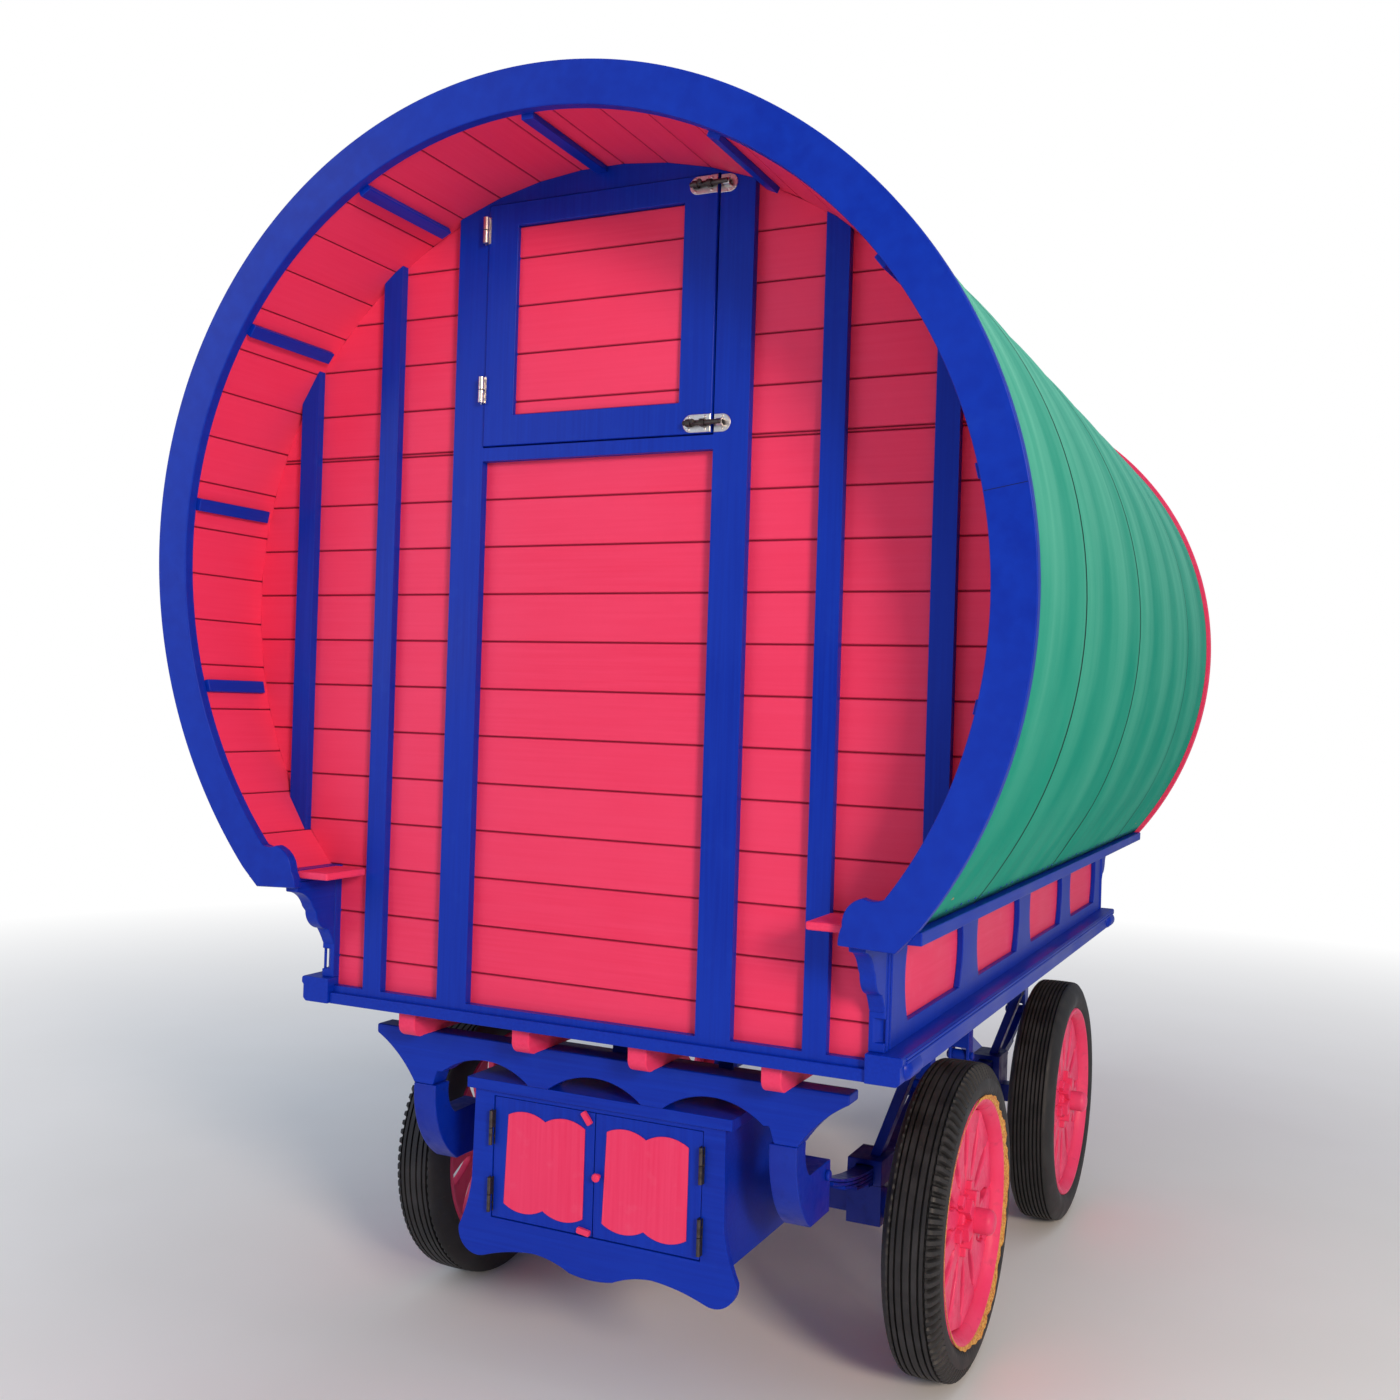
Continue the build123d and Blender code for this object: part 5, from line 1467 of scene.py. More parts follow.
@dataclass
class DishedWheel:
    """A deep cast wheel: rolled rim, a disc with pointed slits between its spokes, lugs and a long hub.

    Args:
        spoke_root, spoke_tip: the radii of a spoke's stations inside and outside the slits.
        nose_share: the radius of the hub's rounded nose as a share of the hub's.
        lug_steps: each block's near and far end, half its width, and its face along X.
        lug_shift: by what share of their pitch the lugs are turned.
        edge_widest: the angle from the top at which the old paint reaches furthest.
        wall_r, wall_x: the tyre's wall under it.
        skin: how far it stands off the wall.
    """

    disc_x: float = 0.012
    disc_t: float = 0.024
    spoke_root: Spot = (0.045, 0.085)
    spoke_tip: Spot = (0.258, 0.274)
    hub_r: float = 0.032
    hub_out: float = 0.114
    hub_in: float = 0.060
    hub_steps: int = 48
    nose_share: float = 0.55
    base_r: float = 0.062
    base_proud: float = 0.014
    base_edge: float = 0.004
    slits: int = 12
    slit_r0: float = 0.104
    slit_r1: float = 0.246
    slit_w: float = 0.034
    chamfer: float = 0.0035
    arris: float = 0.0025
    lugs: int = 6
    lug_sunk: float = 0.004
    lug_shift: float = 0.25
    lug_steps: tuple[tuple[float, ...], ...] = ((0.030, 0.070, 0.019, 0.066), (0.066, 0.092, 0.014, 0.050))
    steps: int = 144
    edge_widest: float = radians(108.0)
    edge_r: float = 0.2975
    edge_wide: float = 0.0280
    edge_least: float = 0.0015
    skin: float = 0.0010
    wall_r: tuple[float, ...] = (0.2970, 0.3005, 0.3080, 0.3210, 0.3350)
    wall_x: tuple[float, ...] = (0.0662, 0.0662, 0.0668, 0.0718, 0.0732)

    def rim(self) -> Shell:
        """The closed section turned about X, rolled over at both edges."""
        return turned_ring(*np.array(RIM_SECTION).T, self.steps)

    def slit_half(self, r: Array) -> Array:
        """Half the width of a slit: a lens that grows as the root of 4 s (1 - s), s its share of the length.

        Args:
            r: distances from the axle.
        Returns:
            The half width at each.
        """
        share = (r - self.slit_r0) / (self.slit_r1 - self.slit_r0)
        lens = np.sqrt(np.clip(4 * share * (1 - share), 0, 1))
        return self.slit_w / 2 * lens

    def spokes(self) -> Shell:
        """One bar for each spoke, from the hub out to the rim, whose sides follow the slits.

        At radius r a spoke spans the angle from one slit's edge to the next, the slit's half width
        divided by r, and its ring has chamfered corners.

        Returns:
            The spokes, about the wheel's own middle.
        """
        along_slit = np.linspace(self.slit_r0, self.slit_r1, 21)
        r = np.concatenate([self.spoke_root, along_slit, self.spoke_tip])
        pitch = tau / self.slits
        trim = (self.slit_half(r) / r)[None, :, None]
        x_high = self.disc_x + self.disc_t
        x_edge = x_high - self.chamfer
        x = np.array([self.disc_x, self.disc_x, x_edge, x_high, x_high, x_edge])
        across = np.array([0.0, 1.0, 1.0, 0.94, 0.06, 0.0])
        start = np.arange(self.slits)[:, None, None] * pitch + trim
        angle = start + (pitch - 2 * trim) * across
        far = r[None, :, None]
        return bars(x, far * np.sin(angle), far * np.cos(angle))

    def hub(self) -> Shell:
        """The hub and its base turned about X, with a rounded nose.

        Returns:
            The hub, about the wheel's own middle.
        """
        edge = self.base_edge
        back = self.disc_x - self.base_proud
        front = self.disc_x + self.disc_t + self.base_proud
        quarter = np.linspace(0, pi / 2, 7)
        nose = self.hub_r * self.nose_share
        least = 0.4 * MM
        outline = [
            (-self.hub_in, least), (-self.hub_in, self.hub_r), (back, self.hub_r), (back, self.base_r - edge),
            (back + edge, self.base_r), (front - edge, self.base_r), (front, self.base_r - edge),
            (front, self.hub_r + edge), (front + edge, self.hub_r),
        ]
        bend_x = self.hub_out - nose + nose * np.sin(quarter)
        bend_r = self.hub_r - nose + nose * np.cos(quarter)
        section = np.concatenate([outline, np.column_stack([bend_x, bend_r]), [(self.hub_out, least)]])
        return turned_ring(*section.T, self.hub_steps, closed=False)

    def lug_blocks(self) -> Shell:
        """Two stepped blocks at the root of every second spoke.

        At the distance n along a block and t across it, y = n sin a + t cos a and z = n cos a - t sin a.

        Returns:
            The blocks, about the wheel's own middle.
        """
        x_low = self.disc_x + self.disc_t - self.lug_sunk
        turn = ((np.arange(self.lugs) + self.lug_shift) * tau / self.lugs)[:, None, None]
        blocks = []
        for near, far, half, x_high in self.lug_steps:
            n = np.array([near, far])[:, None]
            t = np.array([-half, -half, half, half])
            y = n * np.sin(turn) + t * np.cos(turn)
            z = n * np.cos(turn) - t * np.sin(turn)
            blocks.append(bars(np.array([x_low, x_high, x_high, x_low]), y, z))
        return joined(blocks)

    def yellow_edge(self) -> Shell:
        """A thin skin from the rim's edge out over the tyre's wall, with a ragged outer boundary.

        The width is a clipped cosine about the widest place, times a sum of sines and noise.

        Returns:
            The skin, about the wheel's own middle.
        """
        steps = 360
        turn = np.arange(steps) / steps * tau
        rough = np.random.default_rng(3).random(steps)
        waves = 0.14 * np.sin(5 * turn) + 0.12 * np.sin(13 * turn + 1) + 0.16 * np.sin(41 * turn) * rough
        ragged = 0.74 + waves
        cover = np.clip(0.45 + 0.9 * np.cos(turn - self.edge_widest), 0, 1)
        outer = self.edge_r + self.edge_least + self.edge_wide * cover * ragged
        middle = 0.5 * (outer + self.edge_r)
        x_middle, x_outer = (np.interp(r, self.wall_r, self.wall_x) for r in (middle, outer))
        rows = (
            (0.0650, self.edge_r - 0.0010),
            (0.0674, self.edge_r),
            (x_middle + 1.2 * self.skin, middle),
            (x_outer + self.skin, outer),
            (x_outer - self.skin, outer),
            (0.0630, self.edge_r + 0.0006),
        )
        x, r = (np.stack(np.broadcast_arrays(*column, turn)[:-1], axis=-1) for column in zip(*rows))
        return turned_ring(x, r, steps)

    def build(self, place: WheelPlace, centre: Array, palette: Palette) -> None:
        """All parts of one wheel, turned to face outwards.

        Args:
            place: which wheel it is.
            centre: the middle of the wheel.
            palette: where its paint comes from.
        """
        facing = np.array([place.side, 1, 1])
        name = f"wheel_{place.name}"
        parts = {"rim": self.rim(), "spokes": self.spokes(), "hub": self.hub(), "lugs": self.lug_blocks()}
        if place.yellow_edge:
            parts["old_edge"] = self.yellow_edge()
        for part, shell in parts.items():
            material = palette.get(FlakedPaint() if part == "old_edge" else PINK_IRON)
            obj = mesh_object(f"{name}.{part}", Shell(shell.points * facing + centre, shell.faces), material)
            if part in ("spokes", "lugs"):
                soften(obj, self.arris)
            fixed_to(obj, name, "pink_wheel_paint", *([] if part == "old_edge" else [name]))


@dataclass
class RunningGear(Assembly):
    """The four wheels with their tyres."""

    track_x: float = 0.692
    block_grooves: tuple[float, ...] = (0.010, 0.028, 0.042)
    rib_grooves: tuple[float, ...] = (0.0065, 0.0185, 0.0305, 0.0425)
    wheel: DishedWheel = field(default_factory=DishedWheel)

    def build(self) -> None:
        """Set each wheel on its axle."""
        rear_y, front_y = self.cabin.rear_axle_y, self.cabin.front_axle_y
        blocky = RoadTyre(self.block_grooves, lugs=True)
        ribbed = RoadTyre(self.rib_grooves, lugs=False)
        places = (
            WheelPlace("rear_left", -1, rear_y, blocky, False),
            WheelPlace("rear_right", 1, rear_y, blocky, True),
            WheelPlace("front_left", -1, front_y, ribbed, False),
            WheelPlace("front_right", 1, front_y, ribbed, False),
        )
        for place in places:
            centre = np.array([place.side * self.track_x, place.y, place.tyre.radius])
            self.wheel.build(place, centre, self.palette)
            place.tyre.build(place, centre, self.palette)


# Springs


@dataclass
class LeafSprings(Assembly):
    """Two stacks of bent leaves over one axle, each with rolled eyes and a bolt through them."""

    node: str
    body: str
    y: float
    half: float
    spring_x: float = 0.480
    leaf_w: float = 0.046
    leaf_t: float = 0.009
    leaves: int = 5
    eye_r: float = 0.018
    eye_z: float = 0.585
    low_z: float = 0.492
    cheek_x: float = 0.0345
    leaf_gap: float = 0.0011
    leaf_edge: float = 0.003
    stations: int = 33

    def stack(self, side: int) -> list[Shell]:
        """Leaves as arcs about one centre, each shorter than the one over it, with a dark gap between.

        The radius over the leaf's back is (half^2 + rise^2) / (2 rise), plus one thickness for each
        leaf over it. A leaf's end angle is its share of the longest one's.

        Args:
            side: -1 for the left stack, 1 for the right one.
        Returns:
            The leaves, and the eye and bolt at each end.
        """
        rise = self.eye_z - self.low_z
        radius = (self.half**2 + rise**2) / (2 * rise)
        reach = np.arcsin(self.half / radius) * (1 - np.arange(self.leaves) / self.leaves)
        turn = reach[:, None, None] * np.linspace(-1, 1, self.stations)[:, None]
        over = radius + self.leaf_t * np.arange(self.leaves)[:, None, None]
        near = self.leaf_gap
        far = self.leaf_t - near
        bevel = near + self.leaf_edge
        r = over + np.array([near, near, bevel, far, self.leaf_t, self.leaf_t, far, bevel])
        across = np.array([-0.5, 0.5, 0.5, 0.5, 0.44, -0.44, -0.5, -0.5]) * self.leaf_w
        x = side * self.spring_x
        y = self.y + r * np.sin(turn)
        z = self.low_z + radius - r * np.cos(turn)
        parts = [bars(x + across, y, z)]
        for end in (-1, 1):
            origin = (x, self.y + end * self.half, self.eye_z)
            wide = self.leaf_w / 2
            rim = 0.9 * self.eye_r
            eye = np.array([(-wide, rim), (-0.9 * wide, self.eye_r), (0.9 * wide, self.eye_r), (wide, rim)])
            parts.append(turned(eye, origin, "x"))
            head = np.array(BOLT_HEAD) + np.array([self.cheek_x, 0.0])
            bolt = np.concatenate([head[::-1] * np.array([-1, 1]), head])
            parts.append(turned(bolt, origin, "x", 16))
        return parts

    def build(self) -> None:
        """Both stacks as one piece."""
        shell = joined([part for side in (-1, 1) for part in self.stack(side)])
        obj = mesh_object(f"{self.node}.leaves", shell, self.palette.get(BLUE_IRON))
        fixed_to(obj, self.body, "blue_iron_paint", self.node)


# Hinges, bolts and the pan box doors


class HingePlace(NamedTuple):
    """Where a hinge stands, which way it looks along Y and which way its moving leaf lies along X.

    Args:
        face_y: the face that carries the fixed leaf.
        leaf_y: the face that carries the moving leaf.
    """

    x: float
    z: float
    face_y: float
    leaf_y: float
    out: int
    side: int


@dataclass(frozen=True)
class ButtHinge:
    """A narrow lift-off hinge with a knuckle in two halves and screws in its leaves."""

    knuckle_r: float = 0.0072
    half: float = 0.031
    pin_out: float = 0.014
    leaf_w: float = 0.0095
    leaf_t: float = 0.002
    leaf_in: float = 0.003
    joint: float = 0.0006
    screw_in: float = 0.0026
    screw_r: float = 0.0022
    screw_pitch: float = 0.022

    def knuckle(self, place: HingePlace, z0: float, z1: float) -> Shell:
        """One half of the knuckle, with eased ends.

        Args:
            place: where the hinge stands.
            z0: its foot.
            z1: its top.
        Returns:
            The shell.
        """
        r = self.knuckle_r
        section = np.array([(z0, 0.8 * r), (z0 + 0.1 * r, r), (z1 - 0.1 * r, r), (z1, 0.8 * r)])
        return turned(section, (place.x, place.face_y + place.out * self.pin_out, 0.0), "z", 16)

    def leaf(self, place: HingePlace, way: int, back_y: float) -> list[Shell]:
        """A plate on the timber, the web that carries it to the knuckle, and three screws.

        Args:
            place: where the hinge stands.
            way: which way the plate lies along X from the knuckle.
            back_y: the timber's face.
        Returns:
            The plate, the web and the screws.
        """
        x0 = place.x + way * self.leaf_in
        x1 = place.x + way * self.leaf_w
        face = back_y + place.out * self.leaf_t
        low, high = place.z - self.half, place.z + self.half
        pin_y = place.face_y + place.out * self.pin_out
        web = (low, place.z - self.joint) if way == -place.side else (place.z + self.joint, high)
        screw_x = x1 - way * self.screw_in
        screws = np.array([(screw_x, face, place.z + step * self.screw_pitch) for step in (-1, 0, 1)])
        return [
            slab(x0, x1, back_y, face, low, high),
            slab(x0, x0 + way * self.leaf_t, back_y, pin_y, *web),
            domes(screws, (0, place.out, 0), self.screw_r, 8),
        ]

    def fixed(self, place: HingePlace) -> list[Shell]:
        """The lower half, with the leaf on the frame."""
        lower = self.knuckle(place, place.z - self.half, place.z - self.joint)
        return [lower, *self.leaf(place, -place.side, place.face_y)]

    def moving(self, place: HingePlace) -> list[Shell]:
        """The upper half, with the leaf on the door."""
        upper = self.knuckle(place, place.z + self.joint, place.z + self.half)
        return [upper, *self.leaf(place, place.side, place.leaf_y)]


@dataclass(frozen=True)
class BarrelBolt:
    """A bolt on a bright plate with one round end, whose rod runs into a keep on the jamb.

    A place is the middle along X, the timber's face along Y and the rod's height.

    Args:
        plate_z: half the height of both plates.
        strap_x, keep_x: the places of the loops from the middle of their plate.
    """

    plate_half: float = 0.034
    plate_z: float = 0.020
    keep_half: float = 0.020
    thickness: float = 0.0025
    rod_r: float = 0.0055
    rod_out: float = 0.010
    rod_past: float = 0.026
    strap_t: float = 0.0022
    strap_clear: float = 0.0006
    screw_x: float = 0.020
    screw_z: float = 0.0135
    screw_r: Spot = (0.0036, 0.0032)
    strap_x: Spot = (-0.016, 0.018)
    strap_half: float = 0.0055
    keep_x: float = -0.002
    keep_strap_half: float = 0.007

    def plate(self, at: Point, half: float, way: int) -> Shell:
        """A plate proud of the timber, a half circle at one end and square at the other.

        Args:
            at: its place.
            half: half its length.
            way: which way along X the round end looks.
        Returns:
            The shell.
        """
        x, face_y, z = at
        turn = np.linspace(-pi / 2, pi / 2, 14)
        end_x = half - self.plate_z + self.plate_z * np.cos(turn)
        u = np.concatenate([end_x, [-half, -half]]) * way
        w = np.concatenate([self.plate_z * np.sin(turn), [self.plate_z, -self.plate_z]])
        up = np.array([0.0, 0.6, 1.0])[:, None] * self.thickness
        shrink = np.array([1.0, 1.0, 0.95])[:, None]
        return bars(x + u * shrink, (face_y - up)[None], z + w * shrink)

    def strap(self, at: Point, half: float) -> Shell:
        """A loop over the rod: half a ring of square section carried round it.

        Args:
            at: its place.
            half: half its width.
        Returns:
            The shell.
        """
        x, face_y, z = at
        turn = np.linspace(0, pi, 13)[:, None]
        inner = self.rod_r + self.strap_clear
        r = inner + np.array([0.0, 0.0, self.strap_t, self.strap_t])
        y = face_y - self.rod_out - r * np.sin(turn)
        y[[0, -1]] = face_y - MM
        return bars(x + np.array([-half, half, half, -half]), y[None], z + r * np.cos(turn))

    def screws(self, at: Point, x_offsets: Sequence[float], radius: float) -> Shell:
        """Screws in a plate, in pairs over each other.

        Args:
            at: the plate's place.
            x_offsets: how far each pair is from the plate's middle.
            radius: of a screw's head.
        Returns:
            The shell.
        """
        x, face_y, z = at
        top_y = face_y - self.thickness
        places = [(x + dx, top_y, z + dz) for dx in x_offsets for dz in (-self.screw_z, self.screw_z)]
        return domes(np.array(places), (0, -1, 0), radius)

    def latch(self, at: Point, edge_x: float) -> list[Shell]:
        """The rod with its round end and knob, and its two loops.

        Args:
            at: the plate's place.
            edge_x: the edge of the hole, which the rod runs past.
        Returns:
            The rod, the knob and the loops.
        """
        x, face_y, z = at
        r = self.rod_r
        start = x - self.plate_half + 4 * MM
        end = edge_x + self.rod_past
        shares = np.array([(0.0, 0.6), (0.3, 1.0), (-0.5, 1.0), (-0.1, 0.7), (0.0, 0.3)]) * r
        rod = shares + np.array([(start, 0.0), (start, 0.0), (end, 0.0), (end, 0.0), (end, 0.0)])
        knob = np.array([(-19, 3.5), (-17, 5.5), (-12, 5.5), (-10, 3.5), (0, 3.5)]) * MM
        rod_y = face_y - self.rod_out
        loops = [self.strap((x + dx, face_y, z), self.strap_half) for dx in self.strap_x]
        return [turned(rod, (0.0, rod_y, z), "x", 16), turned(knob, (x, rod_y, z), "y", 14), *loops]

    def base(self, at: Point) -> list[Shell]:
        """The plate under the latch, with four screws."""
        screws = self.screws(at, (-self.screw_x, self.screw_x), self.screw_r[0])
        return [self.plate(at, self.plate_half, -1), screws]

    def keep(self, at: Point) -> list[Shell]:
        """The smaller plate on the jamb with its loop and two screws."""
        loop = self.strap((at[0] + self.keep_x, at[1], at[2]), self.keep_strap_half)
        return [self.plate(at, self.keep_half, 1), loop, self.screws(at, (0.0,), self.screw_r[1])]


@dataclass
class Ironwork(Assembly):
    """Hinges and bolts: bright on the shutter and doors, dull on the pan box."""

    bolt_in: float = 0.022
    bolt_x: float = 0.264
    keep_x: float = 0.3235
    door_hinge: float = 0.110
    hinge_over: float = 0.080
    hinge_under: float = 0.006
    pan_x: float = 0.282
    pan_hinge_z: Spot = (0.460, 0.622)
    hinge: ButtHinge = ButtHinge()
    pan_hinge: ButtHinge = ButtHinge(knuckle_r=0.0048, half=0.042, pin_out=0.0105, leaf_w=0.0055)
    bolt: BarrelBolt = BarrelBolt()

    @property
    def rear_y(self) -> float:
        """The outer face of the rear wall's framing."""
        return self.cabin.mid_y - self.cabin.half_y

    def bolt_heights(self) -> Spot:
        """The heights of the shutter's low and high bolts."""
        inset = self.cabin.leaf_gap + self.bolt_in
        return self.cabin.window_z + inset, self.cabin.header_z - inset

    def shutter_hinges(self) -> list[HingePlace]:
        """Two hinges on the shutter's left stile, the lower one a step over its bolt.

        Returns:
            Their places.
        """
        cabin = self.cabin
        low, high = self.bolt_heights()
        low += self.hinge.half + self.hinge_over
        high -= self.hinge.half + self.hinge_under
        leaf_y = self.rear_y - cabin.leaf_proud
        return [HingePlace(-cabin.stile_x, z, self.rear_y, leaf_y, -1, 1) for z in (low, high)]

    def door_hinges(self) -> list[HingePlace]:
        """Two hinges to each front half door, at its left.

        Returns:
            Their places.
        """
        cabin = self.cabin
        face = cabin.mid_y + cabin.half_y
        edges = (
            (cabin.door_z + cabin.leaf_gap, cabin.split_z - cabin.leaf_gap),
            (cabin.split_z + cabin.leaf_gap, cabin.header_z - cabin.leaf_gap),
        )
        heights = [z for low, high in edges for z in (low + self.door_hinge, high - self.door_hinge)]
        return [HingePlace(-cabin.stile_x, z, face, face + cabin.leaf_proud, 1, 1) for z in heights]

    def pan_hinges(self, side: int) -> list[HingePlace]:
        """Two hinges at the outer edge of one pan box door.

        Args:
            side: -1 for the left door, 1 for the right one.
        Returns:
            Their places.
        """
        face = self.rear_y + self.cabin.pan_in
        leaf_y = face + self.cabin.pan_gap
        x = side * self.pan_x
        return [HingePlace(x, z, face, leaf_y, -1, -side) for z in self.pan_hinge_z]

    def piece(self, name: str, parts: list[Shell], finish: Metal, body: str, node: str) -> None:
        """One mesh of metal parts on one body.

        Args:
            name: the piece's name.
            parts: what it is made of.
            finish: its metal.
            body: the CAD body that it moves with.
            node: the CAD node that it stands for.
        """
        obj = mesh_object(name, joined(parts), self.palette.get(finish), crease=radians(28))
        fixed_to(obj, body, "steel", node)

    def build(self) -> None:
        """The fixed halves and keeps on the body, and what moves with the shutter and the pan doors."""
        leaf_y = self.rear_y - self.cabin.leaf_proud
        places = self.shutter_hinges() + self.door_hinges()
        bright = [part for place in places for part in self.hinge.fixed(place)]
        pan_places = self.pan_hinges(-1) + self.pan_hinges(1)
        dull = [part for place in pan_places for part in self.pan_hinge.fixed(place)]
        swinging = [part for place in self.shutter_hinges() for part in self.hinge.moving(place)]
        latches = []
        for z in self.bolt_heights():
            bright += self.bolt.keep((self.keep_x, self.rear_y, z))
            swinging += self.bolt.base((self.bolt_x, leaf_y, z))
            latches += self.bolt.latch((self.bolt_x, leaf_y, z), self.cabin.stile_x)
        self.piece("hinges_fixed_bright", bright, BRIGHT_STEEL, "body", "hinge_plates")
        self.piece("hinges_fixed_dull", dull, DARK_STEEL, "body", "hinge_plates")
        self.piece("shutter_hardware", swinging, BRIGHT_STEEL, "rear_shutter", "shutter_ironwork")
        self.piece("shutter_latches", latches, DARK_STEEL, "rear_shutter", "shutter_ironwork")
        for side, name in SIDES:
            node = f"pan_door_{name}"
            moving = [part for place in self.pan_hinges(side) for part in self.pan_hinge.moving(place)]
            self.piece(f"{node}.hinges", moving, DARK_STEEL, node, node)


@dataclass
class PanDoors(Assembly):
    """The two doors of the pan box: blue leaves with raised pink panels, a knob and turn buttons."""

    leaf_t: float = 0.014
    edge_x: float = 0.280
    low_z: float = 0.404
    high_z: float = 0.696
    inner_stile: float = 0.026
    outer_stile: float = 0.034
    rails: Spot = (0.022, 0.026)
    lobe: float = 0.016
    panel_t: float = 0.003
    knob_x: float = 0.013
    button_x: float = 0.021
    button_t: float = 0.009
    button_in: Spot = (0.011, 0.014)
    button_lean: Spot = (radians(-8), radians(-52))

    def lobed(self, x0: float, x1: float) -> Array:
        """An outline whose top and bottom are each two shallow arcs.

        Args:
            x0: its left side.
            x1: its right side.
        Returns:
            The X and Z of its points, one to a row, once around.
        """
        low = self.low_z + self.rails[0]
        high = self.high_z - self.rails[1]
        mid = (x0 + x1) / 2
        arcs = []
        for a, z, b in ((x0, low, mid), (mid, low, x1), (x1, high, mid), (mid, high, x0)):
            inward = self.lobe if z == low else -self.lobe
            arcs.append(three_point_arc((a, z + inward), ((a + b) / 2, z), (b, z + inward), 16)[:-1])
        side = np.array([(x1, low + self.lobe), (x1, high - self.lobe)])
        return np.concatenate([arcs[0], arcs[1], side, arcs[2][1:], arcs[3]])

    def button(self, x: float, z: float, lean: float, face_y: float) -> Shell:
        """A small wooden turn button: a box with eased edges.

        Args:
            x: its middle along X.
            z: the height of its middle.
            lean: the angle from level.
            face_y: the face that it stands on.
        Returns:
            The shell.
        """
        ring = np.array([(-17, -5), (-15, -7), (15, -7), (17, -5), (17, 5), (15, 7), (-15, 7), (-17, 5)]) * MM
        u = ring[:, 0] * cos(lean) - ring[:, 1] * sin(lean)
        w = ring[:, 0] * sin(lean) + ring[:, 1] * cos(lean)
        return plate_between(np.column_stack([x + u, z + w]), face_y, face_y - self.button_t)

    def fittings(self, side: int, face: float) -> Shell:
        """The knob on the right door, or the two buttons on the left one.

        Args:
            side: -1 for the left door, 1 for the right one.
            face: the doors' outer face.
        Returns:
            The shell.
        """
        if side > 0:
            profile = np.array([(-20, 5), (-18, 9), (-14, 10.5), (-10, 9), (-8, 6), (0, 6)]) * MM
            return turned(profile, (self.knob_x, face, (self.low_z + self.high_z) / 2), "y")
        heights = (self.low_z + self.button_in[0], self.high_z - self.button_in[1])
        places = zip(heights, self.button_lean)
        return joined([self.button(-self.button_x, z, lean, face) for z, lean in places])

    def build(self) -> None:
        """The leaf, its panel and its fittings."""
        blue = self.palette.get(BLUE_PAINT, Grain.UP)
        pink = self.palette.get(PINK_PAINT, Grain.UP)
        cabin = self.cabin
        face = cabin.mid_y - cabin.half_y + cabin.pan_in + cabin.pan_gap
        for side, name in SIDES:
            node = f"pan_door_{name}"
            x0, x1 = sorted((side * cabin.pan_gap / 2, side * self.edge_x))
            leaf = slab(x0, x1, face, face + self.leaf_t, self.low_z, self.high_z)
            x0, x1 = sorted((side * self.inner_stile, side * (self.edge_x - self.outer_stile)))
            panel = plate_between(self.lobed(x0, x1), face, face - self.panel_t)
            pieces = (
                ("leaf", leaf, blue, 0.002),
                ("panel", panel, pink, 0.0012),
                ("fitting", self.fittings(side, face), pink, 0.0008),
            )
            for part, shell, material, arris in pieces:
                obj = mesh_object(f"{node}.{part}", shell, material)
                soften(obj, arris)
                fixed_to(obj, node, "blue_paint", node)


@dataclass
class CoverTacks(Assembly):
    """The tacks along the cover's foot.

    Args:
        end_in: how far from an arch the first one is.
        sunk: how far a tack's foot is inside the cover's radius.
    """

    pitch: float = 0.060
    up: float = 0.018
    end_in: float = 0.03
    sunk: float = 0.0026
    head_r: float = 0.0045

    def build(self) -> None:
        """A row of tacks at the pitch along each side, where x is the root of r^2 - (z - axis)^2."""
        cabin = self.cabin
        foot_r = cabin.cover_r + cabin.cover_clear
        z = cabin.ledge_top + self.up
        foot_x = sqrt(foot_r**2 - (z - cabin.barrel_z) ** 2)
        reach = float(cabin.arch_face(cabin.ledge_top)) - cabin.arch_t - self.end_in
        y = cabin.mid_y + np.arange(-reach, reach, self.pitch)
        lean = (cabin.ledge_top - cabin.barrel_z) / foot_r
        for side, name in SIDES:
            x = side * (foot_x - self.sunk)
            places = np.column_stack([np.full_like(y, x), y, np.full_like(y, z)])
            shell = domes(places, (side * sqrt(1 - lean**2), 0.0, lean), self.head_r, 8)
            obj = mesh_object(f"cover_tacks_{name}", shell, self.palette.get(BLUE_IRON))
            fixed_to(obj, "body", "blue_iron_paint")


